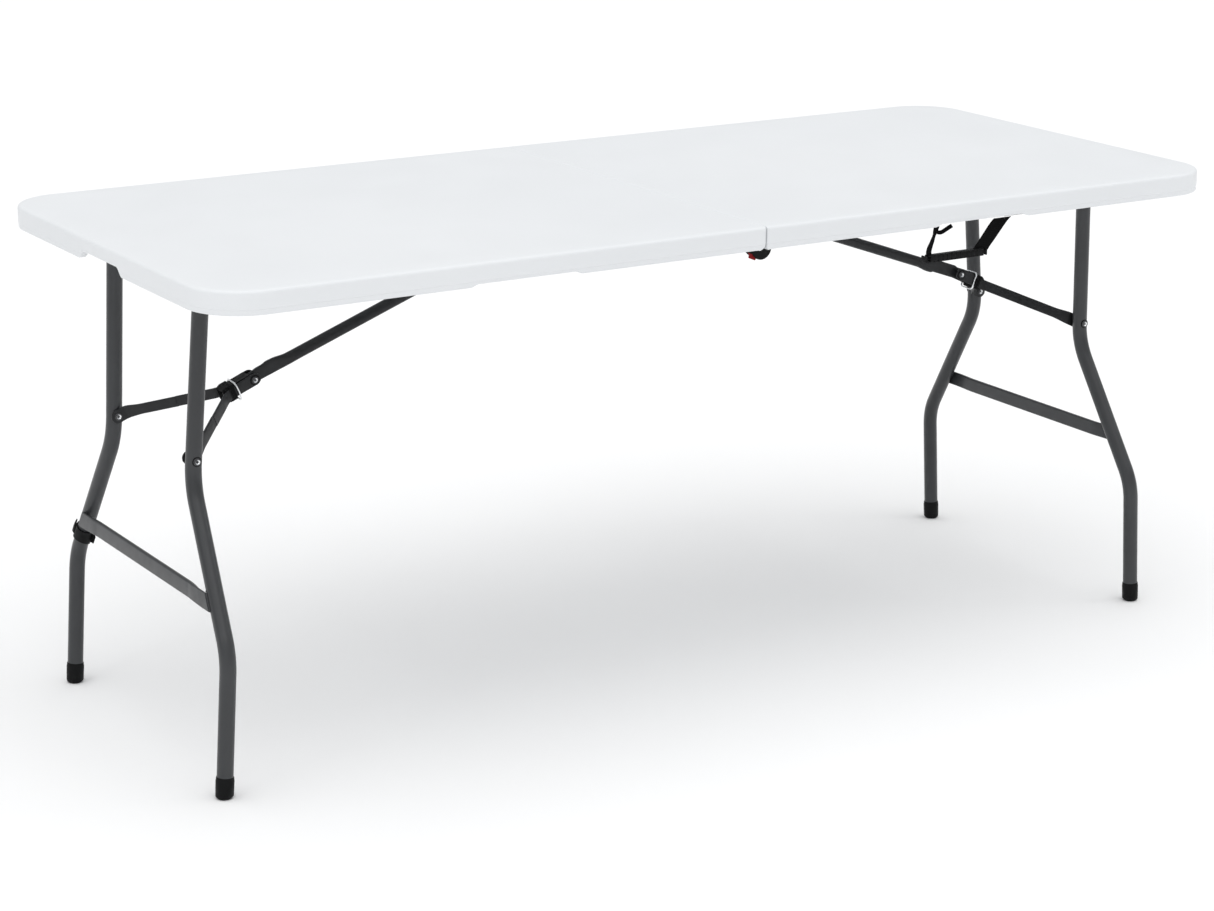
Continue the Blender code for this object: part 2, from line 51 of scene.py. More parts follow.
LEG_R, LEG_WALL = 0.0122, 0.0013
LEG_TOP_Y = 0.1545
KNEE = (0.1421, 0.4326)
ANKLE = (0.2770, 0.2108)
FOOT_Y = 0.2777
KNEE_R, ANKLE_R = 0.110, 0.100
AXLE_R, AXLE_END = 0.010, 0.3640
CAP_R, CAP_H = 0.0133, 0.032
BAR_Z, BAR_H, BAR_RUN = 0.282, 0.025, 0.0110
RIVET_Z = 0.467
ANCHOR = Vector((0.083, 0.0, 0.7505))
KNUCKLE_RISE = {-1: 0.0055, 1: 0.0145}
FOLD_DEG = 93.4
BRACE_R, EYE_R, EYE_T = 0.0088, 0.007, 0.0040
KNUCKLE_SPAN = 0.085       # length of the swollen end of a brace
CHEEK_Y, CHEEK_T = 0.0093, 0.0016
CLEVIS_LENGTH, GRIP_SPAN = 0.049, (0.0348, 0.0535)
ARM_T, ARM_END_Y = 0.0020, 0.1285
HEAD_R, HEAD_H = 0.0060, 0.0022
RING_AT, RING_HANG, RING_DROP = 0.031, 0.0018, 0.0040
RING_Y, RING_Z, RING_WIRE = 0.0152, 0.0145, 0.0013
RAIL_T = 0.003
RAIL_Y = {-1: 0.3545, 1: 0.3580}
RAIL_SCREW_X, RAIL_SCREW_Z = (0.055, 0.205, 0.370, 0.555, 0.735), 0.7495
BRACKET_SCREW_Y, BRACKET_SCREW_Z = 0.0245, 0.7582
HINGE = Vector((0.0, 0.0, RIM))
COVER_R, COVER_Y = 0.0175, (0.3614, 0.3644)
LATCH_Y = (0.3647, 0.3674)
HANDLE_Y, HANDLE_PIVOT_Z = -0.3655, 0.7270
GRIP_X, GRIP_Z = (0.3085, 0.4290), 0.6772
STRAP_T = 0.0018
CLIP_Z, CLIP_R = (0.238, 0.266), 0.0144
SIDES = {-1: "left", 1: "right"}
ENDS = {-1: "front", 1: "back"}
ACROSS, UPWARD = Vector((0, 1, 0)), Vector((0, 0, 1))


# ---- small maths
def mirrored(v, sx):
    return Vector((sx * v.x, v.y, v.z))


def round_axis(axis):
    """Unit axis and two directions square to it."""
    axis = Vector(axis).normalized()
    helper = UPWARD if abs(axis.z) < 0.7 else Vector((1, 0, 0))
    side = helper.cross(axis).normalized()
    return axis, side, axis.cross(side)


def smooth(t):
    t = min(max(t, 0.0), 1.0)
    return t * t * (3 - 2 * t)


def lerp(a, b, t):
    return a + (b - a) * t


def ramp(value, stops):
    """Smooth interpolation of a list of (position, value) stops."""
    if value <= stops[0][0]:
        return stops[0][1]
    for (p0, v0), (p1, v1) in zip(stops, stops[1:]):
        if value <= p1:
            return lerp(v0, v1, smooth((value - p0) / (p1 - p0)))
    return stops[-1][1]


def arc(centre, radius, start, stop, steps):
    angles = [radians(lerp(start, stop, i / steps)) for i in range(steps + 1)]
    return [(centre[0] + radius * cos(a), centre[1] + radius * sin(a)) for a in angles]


def leg_x(z):
    return PIVOT.x + (FOOT_X - PIVOT.x) * (PIVOT.z - z) / PIVOT.z


def leg_y(z):
    if z >= KNEE[1]:
        return lerp(KNEE[0], LEG_TOP_Y, (z - KNEE[1]) / (PIVOT.z - KNEE[1]))
    return lerp(ANKLE[0], KNEE[0], (z - ANKLE[1]) / (KNEE[1] - ANKLE[1]))


def find_knuckle(sx):
    """Standing knuckle of one toggle whose two links lie on one line when folded."""
    reach = (RIVET - PIVOT).xz.length
    turned = atan2(RIVET.z - PIVOT.z, RIVET.x - PIVOT.x) - radians(FOLD_DEG)
    folded = Vector((PIVOT.x + reach * cos(turned), 0.0, PIVOT.z + reach * sin(turned)))
    open_span = (RIVET - ANCHOR).length
    shut_span = (folded - ANCHOR).length
    yoke = (open_span - shut_span) / 2
    brace = (open_span + shut_span) / 2
    slack = KNUCKLE_RISE[sx] ** 2 * (1 / yoke + 1 / brace) / 4
    yoke += slack
    brace += slack
    slope = atan2(RIVET.z - ANCHOR.z, RIVET.x - ANCHOR.x)
    slope += acos((brace ** 2 + open_span ** 2 - yoke ** 2) / (2 * brace * open_span))
    return ANCHOR + Vector((cos(slope), 0.0, sin(slope))) * brace


RIVET = Vector((leg_x(RIVET_Z), 0.0, RIVET_Z))
KNUCKLE = {sx: find_knuckle(sx) for sx in SIDES}


def link_frame(sx, start, end):
    """Length, outward direction and up direction of one standing toggle link."""
    run = (end - start).normalized()
    return (end - start).length, mirrored(run, sx), Vector((-sx * run.z, 0.0, run.x))


def fillet(points, radii, steps):
    out = [points[0]]
    for before, here, after, radius in zip(points, points[1:], points[2:], radii):
        a = (before - here).normalized()
        b = (after - here).normalized()
        half = a.angle(b) / 2
        reach = radius * cos(half) / max(sin(half), 1e-6)
        start, end = here + a * reach, here + b * reach
        for i in range(steps + 1):
            t = i / steps
            out.append(start * (1 - t) ** 2 + here * 2 * t * (1 - t) + end * t ** 2)
    out.append(points[-1])
    return out


def resample(points, step):
    """Cut the straight runs of a polyline into pieces no longer than step."""
    out = [points[0]]
    for a, b in zip(points, points[1:]):
        n = max(1, round((b - a).length / step))
        out += [a.lerp(b, (i + 1) / n) for i in range(n)]
    return out


def directions(path, closed=False):
    if closed:
        return [(path[(i + 1) % len(path)] - path[i - 1]).normalized() for i in range(len(path))]
    steps = [(b - a).normalized() for a, b in zip(path, path[1:])]
    return [steps[0]] + [(a + b).normalized() for a, b in zip(steps, steps[1:])] + [steps[-1]]


def lengths(path):
    out = [0.0]
    for a, b in zip(path, path[1:]):
        out.append(out[-1] + (b - a).length)
    return out


# ---- sections and skins
def ring_of(radius, sides):
    return [(radius * cos(2 * pi * i / sides), radius * sin(2 * pi * i / sides))
            for i in range(sides)]


def rounded(a, b, corner, steps=4):
    """Rounded rectangle, half sizes a and b."""
    corner = min(corner, a * 0.98, b * 0.98)
    out = []
    for k, (sa, sb) in enumerate(((1, 1), (-1, 1), (-1, -1), (1, -1))):
        out += arc((sa * (a - corner), sb * (b - corner)), corner, 90 * k, 90 * (k + 1), steps)
    return out


def superellipse(a, b, power, sides):
    out = []
    for i in range(sides):
        t = 2 * pi * (i + 0.5) / sides
        c, s = cos(t), sin(t)
        out.append((a * abs(c) ** (2 / power) * (1 if c > 0 else -1),
                    b * abs(s) ** (2 / power) * (1 if s > 0 else -1)))
    return out


def skin(bm, loops, closed=False, index=0):
    rings = [[bm.verts.new(p) for p in loop] for loop in loops]
    pairs = list(zip(rings, rings[1:]))
    if closed:
        pairs.append((rings[-1], rings[0]))
    faces = []
    for low, high in pairs:
        for i in range(len(low)):
            j = (i + 1) % len(low)
            faces.append(bm.faces.new((low[i], low[j], high[j], high[i])))
    if not closed:
        faces.append(bm.faces.new(rings[0]))
        faces.append(bm.faces.new(rings[-1][::-1]))
    for face in faces:
        face.material_index = index


def sweep(bm, path, ref, section, closed=False):
    """Skin a section along a path; section(i) gives (side, rise) pairs at path point i."""
    loops = []
    for i, (point, run) in enumerate(zip(path, directions(path, closed))):
        side = run.cross(ref).normalized()
        rise = side.cross(run).normalized()
        loops.append([point + side * a + rise * b for a, b in section(i)])
    skin(bm, loops, closed)


def lathe(bm, centre, axis, profile, sides=32, closed=False, index=0):
    """Turn (along, radius) pairs round an axis; a radius of 0 closes that end."""
    axis, u, v = round_axis(axis)
    centre = Vector(centre)
    loops = []
    for along, radius in profile:
        radius = max(radius, 1e-5)
        loops.append([centre + axis * along + (u * a + v * b) * radius
                      for a, b in ring_of(1.0, sides)])
    skin(bm, loops, closed, index)


def hollow_tube(bm, path, ref, radius, wall, sides):
    outer = ring_of(radius, sides)
    inner = ring_of(radius - wall, sides)
    runs = directions(path)
    loops = []
    for points, section in ((range(len(path)), outer), (reversed(range(len(path))), inner)):
        for i in points:
            side = runs[i].cross(ref).normalized()
            rise = side.cross(runs[i]).normalized()
            loops.append([path[i] + side * a + rise * b for a, b in section])
    skin(bm, loops, closed=True)


def mesh_from(name, bm):
    mesh = bpy.data.meshes.new(name)
    bm.to_mesh(mesh)
    bm.free()
    return mesh


def put(name, data):
    obj = bpy.data.objects.new(name, data)
    bpy.context.scene.collection.objects.link(obj)
    return obj


def piece(name, bm, mats, body, nodes=(), angle=35.0, bevel=0.0):
    """Turn a mesh in frame coordinates into a shown piece that rides on a body."""
    bmesh.ops.remove_doubles(bm, verts=bm.verts, dist=0.000004)
    bmesh.ops.recalc_face_normals(bm, faces=bm.faces)
    mesh = mesh_from(name, bm)
    obj = put(name, mesh)
    mats = mats if isinstance(mats, list) else [mats]
    for mat in mats:
        mesh.materials.append(mat)
    mesh.shade_smooth()
    mesh.set_sharp_from_angle(angle=radians(angle))
    if bevel:
        mod = obj.modifiers.new("edge_rounding", "BEVEL")
        mod.width = bevel
        mod.segments = 2
        mod.limit_method = "ANGLE"
        mod.angle_limit = radians(30)
        mod.harden_normals = True
    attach(obj, body)
    if nodes:
        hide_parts(*nodes)
    return obj


def weld(bm, points, radius, seed):
    """A stitched weld bead along a polyline."""
    path = resample(points, 0.0005)
    run = lengths(path)

    def section(i):
        wobble = noise.noise(Vector((run[i] * 260, seed, 0.0)))
        bead = radius * (1.0 + 0.16 * sin(run[i] * 2 * pi / 0.0021) + 0.18 * wobble)
        fade = sqrt(max(0.06, min(1.0, run[i] / radius / 1.4,
                                  (run[-1] - run[i]) / radius / 1.4)))
        return ring_of(bead * fade, 10)

    ref = Vector((0.31, 0.17, 0.93))
    sweep(bm, path, ref, section)


# ---- materials
def material(name):
    mat = bpy.data.materials.new(name)
    mat.use_nodes = True
    return mat, mat.node_tree, mat.node_tree.nodes["Principled BSDF"]


def noise_node(tree, vector, scale, detail=2.0):
    tex = tree.nodes.new("ShaderNodeTexNoise")
    tex.inputs["Scale"].default_value = scale
    tex.inputs["Detail"].default_value = detail
    tree.links.new(vector, tex.inputs["Vector"])
    return tex.outputs["Fac"]


def remap(tree, value, low, high, start=0.3, stop=0.7):
    node = tree.nodes.new("ShaderNodeMapRange")
    for socket, number in zip(("From Min", "From Max", "To Min", "To Max"),
                              (start, stop, low, high)):
        node.inputs[socket].default_value = number
    tree.links.new(value, node.inputs["Value"])
    return node.outputs["Result"]


def blend(tree, factor, a, b):
    node = tree.nodes.new("ShaderNodeMix")
    node.data_type = "RGBA"
    for index, colour in ((6, a), (7, b)):
        if isinstance(colour, tuple):
            node.inputs[index].default_value = (*colour, 1.0)
        else:
            tree.links.new(colour, node.inputs[index])
    tree.links.new(factor, node.inputs[0])
    return node.outputs[2]


def bump(tree, height, strength, distance, below=None):
    node = tree.nodes.new("ShaderNodeBump")
    node.inputs["Strength"].default_value = strength
    node.inputs["Distance"].default_value = distance
    tree.links.new(height, node.inputs["Height"])
    if below is not None:
        tree.links.new(below, node.inputs["Normal"])
    return node.outputs["Normal"]


def surface(name, dark, light, rough, broad, fine, grain, depth, metallic=0.0, speckle=0.0,
            specular=0.5, stretch=(1.0, 1.0, 1.0)):
    """A moulded, painted or plated finish: broad colour drift, fine speckle and a grain."""
    mat, tree, shader = material(name)
    coords = tree.nodes.new("ShaderNodeTexCoord")
    mapping = tree.nodes.new("ShaderNodeMapping")
    mapping.inputs["Scale"].default_value = stretch
    tree.links.new(coords.outputs["Object"], mapping.inputs["Vector"])
    place = mapping.outputs["Vector"]
    drift = remap(tree, noise_node(tree, place, broad, 4.0), 0.0, 1.0)
    colour = blend(tree, drift, dark, light)
    if speckle:
        dots = remap(tree, noise_node(tree, place, fine, 1.0), 0.0, speckle,
                     0.52, 0.72)
        colour = blend(tree, dots, colour, tuple(min(1.0, c * 1.9 + 0.01) for c in light))
    tree.links.new(colour, shader.inputs["Base Color"])
    patch = noise_node(tree, place, broad * 6.0, 3.0)
    tree.links.new(remap(tree, patch, *rough), shader.inputs["Roughness"])
    wide = bump(tree, noise_node(tree, place, grain * 0.28, 2.0), 0.35, depth)
    tree.links.new(bump(tree, noise_node(tree, place, grain, 2.0), 0.5, depth, wide),
              shader.inputs["Normal"])
    shader.inputs["Metallic"].default_value = metallic
    shader.inputs["Specular IOR Level"].default_value = specular
    return mat


def webbing_material(name, dark, light):
    """Woven strap: warp ribs along the strap, weft picks across it, fuzz on top."""
    mat, tree, shader = material(name)
    attribute = tree.nodes.new("ShaderNodeAttribute")
    attribute.attribute_name = "weave"
    waves = []
    for direction, scale in (("X", 900.0), ("Y", 520.0)):
        wave = tree.nodes.new("ShaderNodeTexWave")
        wave.bands_direction = direction
        wave.inputs["Scale"].default_value = scale / (2 * pi)
        wave.inputs["Distortion"].default_value = 0.6
        wave.inputs["Detail"].default_value = 1.0
        tree.links.new(attribute.outputs["Vector"], wave.inputs["Vector"])
        waves.append(wave.outputs["Fac"])
    cross = tree.nodes.new("ShaderNodeMath")
    cross.operation = "MULTIPLY"
    tree.links.new(waves[0], cross.inputs[0])
    tree.links.new(waves[1], cross.inputs[1])
    fuzz = noise_node(tree, attribute.outputs["Vector"], 2600.0, 2.0)
    thread = remap(tree, cross.outputs[0], 0.0, 1.0, 0.1, 0.9)
    colour = blend(tree, thread, dark, light)
    tree.links.new(blend(tree, remap(tree, fuzz, 0.0, 0.35), colour, light),
              shader.inputs["Base Color"])
    weave = bump(tree, cross.outputs[0], 0.7, 0.0004)
    tree.links.new(bump(tree, fuzz, 0.3, 0.0002, weave), shader.inputs["Normal"])
    shader.inputs["Roughness"].default_value = 0.82
    shader.inputs["Specular IOR Level"].default_value = 0.10
    return mat


HDPE = surface("white_polyethylene", (0.772, 0.790, 0.808), (0.798, 0.814, 0.830), (0.40, 0.52),
               1.7, 900.0, 1150.0, 0.00022, specular=0.32)
STEEL = surface("grey_powder_coat", (0.030, 0.0315, 0.034), (0.038, 0.040, 0.043), (0.28, 0.38),
                9.0, 2600.0, 1500.0, 0.00004, speckle=0.08, specular=0.45)
DARK_STEEL = surface("dark_powder_coat", (0.0110, 0.0116, 0.0126), (0.0170, 0.0178, 0.0192),
                     (0.36, 0.50), 11.0, 2600.0, 1500.0, 0.00012, speckle=0.10, specular=0.27)
BLACK = surface("black_plastic", (0.0030, 0.0032, 0.0035), (0.0060, 0.0062, 0.0067),
                (0.42, 0.60), 22.0, 2400.0, 1900.0, 0.00014, speckle=0.03, specular=0.13)
ZINC = surface("zinc_plate", (0.74, 0.75, 0.76), (0.92, 0.93, 0.94), (0.16, 0.34), 60.0,
               900.0, 2200.0, 0.00005, metallic=1.0, stretch=(1.0, 3.0, 1.0))
DULL_ZINC = surface("dull_zinc", (0.045, 0.046, 0.048), (0.11, 0.11, 0.115), (0.45, 0.65), 80.0,
                    900.0, 2200.0, 0.00006, metallic=0.6)
WELD = surface("painted_weld", (0.034, 0.0355, 0.038), (0.050, 0.052, 0.055), (0.34, 0.48), 90.0,
               2600.0, 900.0, 0.0002, speckle=0.10, specular=0.42)
RED = surface("red_plastic", (0.190, 0.003, 0.004), (0.270, 0.005, 0.007), (0.34, 0.50), 40.0,
              1800.0, 1700.0, 0.0001, speckle=0.02, specular=0.15)
WEBBING = webbing_material("black_webbing", (0.0010, 0.0010, 0.0012), (0.0065, 0.0065, 0.0072))


# ---- the two moulded halves
CROWN_AT, CROWN_SLOPE, EDGE_R = 0.036, 0.082, 0.0052
SIDE_X = [0.0050, 0.0075, 0.0105, 0.0130, 0.0180, 0.05, 0.12, 0.20, 0.27, 0.312, 0.319, 0.3223,
          0.3256, 0.3288, 0.332, 0.338, 0.36, 0.41, 0.46, 0.484, 0.490, 0.4933, 0.4965, 0.4998,
          0.503, 0.509, 0.56, 0.63, 0.70, 0.76, 0.80]
END_Y = [-0.28, -0.24, -0.18, -0.12, -0.085, -0.078, -0.0735, -0.069, -0.0645, -0.060, -0.054,
         -0.03, 0.0]
END_Y += [-y for y in reversed(END_Y[:-1])]


def plan(inset, seam_x):
    x1, y1 = LENGTH / 2 - inset, WIDTH / 2 - inset
    r, tight = CORNER_R - inset, 0.0016
    points = arc((seam_x + tight, -y1 + tight), tight, 180, 270, 3)
    near = seam_x + tight
    side_x = [max(x, near + 0.0002 * (k + 1)) for k, x in enumerate(SIDE_X)]
    points += [(x, -y1) for x in side_x]
    points += arc((x1 - r, -y1 + r), r, -90, 0, 22)
    points += [(x1, y) for y in END_Y]
    points += arc((x1 - r, y1 - r), r, 0, 90, 22)
    points += [(x, y1) for x in reversed(side_x)]
    points += arc((seam_x + tight, y1 - tight), tight, 90, 180, 3)
    return points


def rim_rise(x, y, sx):
    """How far the moulded edge is cut up from below."""
    if abs(y) > 0.34 and x < 0.85:
        teeth = {-1: [(0.0015, 0.0040), (0.0098, -0.0012), (0.0135, 0.0)],
                 1: [(0.0012, 0.0010), (0.0040, -0.0010), (0.0120, 0.0)]}[sx]
        tooth = teeth[0][1]
        for (p0, v0), (p1, v1) in zip(teeth, teeth[1:]):
            if x > p0:
                tooth = lerp(v0, v1, min(1.0, (x - p0) / (p1 - p0)))
        rise, fall = (smooth((x - edge) / SIDE_NOTCH_RAMP) for edge in SIDE_NOTCH)
        return tooth + SIDE_NOTCH_RISE * (rise - fall)
    if x > 0.85 and abs(y) < END_NOTCH:
        return END_NOTCH_RISE * smooth((END_NOTCH - abs(y)) / END_NOTCH_RAMP)
    return 0.0


def top_profile():
    """(inset, seam x, height, height over the rim edge) from the cavity round to the top."""
    inner = [(0.0165, 0.0180, UNDERSIDE, None), (0.0150, 0.0165, UNDERSIDE - 0.0004, None),
             (0.0136, 0.0151, UNDERSIDE - 0.0024, None), (0.0131, 0.0146, 0.7540, None),
             (0.0122, 0.0137, None, 0.0022), (0.0119, 0.0134, None, 0.0008),
             (0.0110, 0.0126, None, 0.0), (0.0100, 0.0116, None, 0.0)]
    outer = [(0.0026, 0.0040, None, 0.0), (0.0018, 0.0030, None, 0.0),
             (0.0010, 0.0021, None, 0.0004), (0.0006, 0.0016, None, 0.0014),
             (0.0005, 0.0014, None, 0.0028), (0.0005, 0.0013, 0.7366, 0.0040),
             (0.00045, 0.0013, 0.7370, 0.0044), (0.0000, 0.0012, 0.7375, 0.0049),
             (0.0, 0.0012, 0.7385, 0.0058), (0.0, 0.0012, 0.7540, None)]
    slope = CROWN_SLOPE / (2 * (CROWN_AT - EDGE_R))
    last = radians(85)
    edge = HEIGHT - slope * (CROWN_AT - EDGE_R) ** 2
    for step in range(9):
        a = last * step / 8
        z = edge - EDGE_R * (sin(last) - sin(a))
        seam = lerp(0.0012, 0.0005, smooth(step / 6)) + 0.0003 * smooth((step - 6) / 2)
        outer.append((EDGE_R * (1 - cos(a)), seam, z, None))
    for step in range(1, 7):
        d = lerp(EDGE_R, CROWN_AT, step / 6)
        seam = lerp(0.0008, 0.0042, (step / 6) ** 0.7)
        outer.append((d, seam, HEIGHT - slope * (CROWN_AT - d) ** 2, None))
    outer.append((CROWN_AT + 0.0015, 0.0056, HEIGHT, None))
    outer.append((CROWN_AT + 0.006, 0.0090, HEIGHT, None))
    return inner + outer


def underside_cutter(sx):
    """Recesses moulded up into the underside and the pockets for the hinge plates."""
    bm = bmesh.new()
    columns, rows = 12, 9
    first_x, column_pitch, row_pitch = 0.062, 0.0685, 0.0735
    for i in range(columns):
        for j in range(rows):
            x = first_x + i * column_pitch
            y = (j - (rows - 1) / 2) * row_pitch
            if x < 0.15 and abs(y) < 0.05:
                continue
            loops = []
            for z, shrink, corner in ((UNDERSIDE - 0.004, -0.0022, 0.0085),
                                      (UNDERSIDE - 0.0001, -0.0002, 0.0080),
                                      (UNDERSIDE + 0.0004, 0.0002, 0.0078),
                                      (UNDERSIDE + 0.0018, 0.0014, 0.0070),
                                      (UNDERSIDE + 0.0023, 0.0028, 0.0060)):
                loops.append([(sx * (x + a), y + b, z) for a, b in
                              rounded(0.0265 - shrink, 0.0285 - shrink, corner, 3)])
            skin(bm, loops)
    for sy in ENDS:
        y0, y1 = sorted((sy * 0.3480, sy * 0.3701))
        x0, x1 = sorted((-sx * 0.002, sx * 0.030))
        skin(bm, [[(x0, y0, z), (x1, y0, z), (x1, y1, z), (x0, y1, z)]
                  for z in (RIM - 0.01, UNDERSIDE - 0.0002)])
    return bm


def subtract(obj, bm):
    """Cut a mesh out of an object for good."""
    bmesh.ops.recalc_face_normals(bm, faces=bm.faces)
    mesh = mesh_from("cutter", bm)
    cutter = put("cutter", mesh)
    mod = obj.modifiers.new("cut", "BOOLEAN")
    mod.operation = "DIFFERENCE"
    mod.solver = "EXACT"
    mod.object = cutter
    graph = bpy.context.evaluated_depsgraph_get()
    result = bpy.data.meshes.new_from_object(obj.evaluated_get(graph))
    obj.modifiers.remove(mod)
    old, name = obj.data, obj.data.name
    obj.data = result
    bpy.data.meshes.remove(old)
    result.name = name
    bpy.data.objects.remove(cutter)
    bpy.data.meshes.remove(mesh)


def make_top(sx):
    side = SIDES[sx]
    loops = []
    for inset, seam_x, z, over in top_profile():
        loop = []
        for x, y in plan(inset, seam_x):
            height = z
            if over is not None:
                edge = RIM + rim_rise(x, y, sx) + over
                height = edge if z is None else max(z, edge)
            loop.append((sx * x, y, height))
        loops.append(loop)
    bm = bmesh.new()
    skin(bm, loops)
    top = piece(side + "_top_moulding", bm, HDPE, side + "_half", [side + "_top"], angle=40)
    subtract(top, underside_cutter(sx))
    top.data.shade_smooth()
    top.data.set_sharp_from_angle(angle=radians(38))


# ---- rivets, screws, washers
def hollow_rivet(bm, base, axis, radius=HEAD_R, height=HEAD_H):
    """Rivet head as one turned shape; its bore walls take the second material, a bright zinc
    painted on as highlight, and the bore floor keeps the head's dark zinc as painted shade.
    """
    r, h = radius, height
    profile = [(-0.0006, 0.0), (-0.0006, r * 0.96), (0.0, r), (h * 0.22, r), (h * 0.45, r * 0.97),
               (h * 0.70, r * 0.89), (h * 0.90, r * 0.80), (h, r * 0.70), (h * 0.97, r * 0.62),
               (h * 0.55, r * 0.46), (h * 0.25, r * 0.34), (h * 0.22, 0.0)]
    before = set(bm.faces)
    lathe(bm, base, axis, profile, 40)
    axis = Vector(axis).normalized()
    # painted highlight: the bore walls get the bright zinc; the bore floor stays in the dark zinc
    # as painted shade
    for face in set(bm.faces) - before:
        middle = face.calc_center_median() - Vector(base)
        along = middle.dot(axis)
        across = (middle - axis * along).length
        if along > 0.0 and r * 0.36 < across < r * 0.62 and len(face.verts) == 4:
            face.material_index = 1


def washer(bm, base, axis, radius, thick):
    """Washer in the third material of its piece."""
    lathe(bm, base, axis, [(0.0, 0.0), (0.0, radius * 0.97), (thick * 0.2, radius),
                           (thick * 0.8, radius), (thick, radius * 0.95), (thick, 0.0)], 36,
          index=2)


def cross_screw(bm, base, axis, radius, height):
    """Pan head screw with a cross recess pressed into its crown."""
    axis, u, v = round_axis(axis)
    rings, sides = 10, 32
    loops = [[base - axis * 0.0004 + (u * a + v * b) * radius * 0.98
              for a, b in ring_of(1.0, sides)]]
    for k in range(rings):
        r = radius * (1 - k / rings)
        dome = height * (0.35 + 0.65 * sqrt(max(0.0, 1 - (r / radius) ** 2)))
        loop = []
        for a, b in ring_of(1.0, sides):
            slot = min(abs(a), abs(b)) * r < radius * 0.13 and r < radius * 0.62
            loop.append(base + (u * a + v * b) * r + axis * (dome - (height * 0.6 if slot else 0)))
        loops.append(loop)
    skin(bm, loops)


# ---- under the top
def make_half_hardware(sx):
    side, body = SIDES[sx], SIDES[sx] + "_half"
    for name in ("_rail_front", "_rail_back", "_brace_bracket"):
        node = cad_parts[side + name]
        node.data.materials.clear()
        node.data.materials.append(STEEL)
    pivot = mirrored(PIVOT, sx)
    for sy, end in ENDS.items():
        web = RAIL_Y[sx]
        flange = web - GAP
        bm = bmesh.new()
        lathe(bm, pivot, (0, sy, 0),
              [(flange - 0.0018, AXLE_R + 0.0004), (flange - 0.0018, 0.0124),
               (flange - 0.0014, 0.0129), (flange - 0.0002, 0.0129), (flange, 0.0126),
               (flange, 0.0115), (web + RAIL_T, 0.0115), (web + RAIL_T + 0.0002, 0.0112),
               (web + RAIL_T, AXLE_R + 0.0004)], 48, closed=True)
        piece(f"{side}_axle_bearing_{end}", bm, BLACK, body, [f"{side}_axle_bush_{end}"], angle=40)

        bm = bmesh.new()
        for x in RAIL_SCREW_X:
            place = Vector((sx * x, sy * web, RAIL_SCREW_Z))
            cross_screw(bm, place, (0, -sy, 0), 0.0041, 0.0022)
        piece(f"{side}_rail_screws_{end}", bm, ZINC, body, angle=30)

    bm = bmesh.new()
    anchor = mirrored(ANCHOR, sx)
    for sy in ENDS:
        place = Vector((anchor.x, sy * BRACKET_SCREW_Y, BRACKET_SCREW_Z))
        cross_screw(bm, place, (0, 0, -1), 0.0038, 0.0020)
    piece(side + "_bracket_screws", bm, ZINC, body, angle=30)

    bm = bmesh.new()
    reach = 0.0125 + 0.0015 + GAP
    lathe(bm, anchor, ACROSS, [(-reach, 0.0029), (reach, 0.0029)], 24)
    for sy in ENDS:
        hollow_rivet(bm, anchor + ACROSS * sy * reach, (0, sy, 0))
    piece(side + "_brace_hinge_pin", bm, [DULL_ZINC, ZINC], body, [side + "_brace_pin"], angle=30)


def make_hinge():
    for sy, end in ENDS.items():
        bm = bmesh.new()
        inner, outer = COVER_Y
        mid = outer - 0.0007
        lathe(bm, HINGE, (0, sy, 0),
              [(inner, 0.0040), (inner, COVER_R - 0.0006), (inner + 0.0004, COVER_R),
               (outer - 0.0010, COVER_R), (outer - 0.0003, COVER_R - 0.0004),
               (outer, COVER_R - 0.0012), (outer, COVER_R - 0.0030), (mid, COVER_R - 0.0036),
               (mid, 0.0092), (outer, 0.0086), (outer, 0.0066), (outer - 0.0010, 0.0058),
               (outer - 0.0010, 0.0040)], 72, closed=True)
        housing = [(-0.0290, 0.7400), (-0.0295, 0.7300), (-0.0250, 0.7250), (-0.0190, 0.7195),
                   (-0.0120, 0.7165), (-0.0050, 0.7180), (-0.0050, 0.7400)]
        skin(bm, [[(x, sy * y, z) for x, z in housing] for y in (inner + 0.0001, mid - 0.0002)])
        piece("hinge_disc_" + end, bm, BLACK, "left_half",
              ["hinge_cover_" + end], angle=35, bevel=0.0003)

        # Cover plate in front of the latch, cut off level inside the moulded edge
        if sy < 0:
            plate = [(-0.0262, 0.7400), (-0.0262, 0.7290), (-0.0222, 0.7240)]
            plate += arc((0.0, HINGE.z), COVER_R, 206, 352, 24)
            plate += [(0.0173, 0.7400)]
            plate_y = (LATCH_Y[1] + 0.0007, LATCH_Y[1] + 0.0021)
            bm = bmesh.new()
            skin(bm, [[(x, sy * y, z) for x, z in plate] for y in plate_y])
            piece("hinge_cover_plate", bm, BLACK, "left_half", angle=35, bevel=0.0003)

        bm = bmesh.new()
        start = RAIL_Y[-1] - GAP
        lathe(bm, HINGE, (0, sy, 0),
              [(start - 0.0022, 0.0), (start - 0.0022, 0.0044), (start - 0.0016, 0.0053),
               (start, 0.0055), (start, 0.0034), (outer - 0.0004, 0.0034),
               (outer - 0.0002, 0.0030), (outer - 0.0002, 0.0)], 36)
        piece("hinge_rivet_" + end, bm, [DULL_ZINC], "left_half", ["hinge_pin_" + end], angle=30)


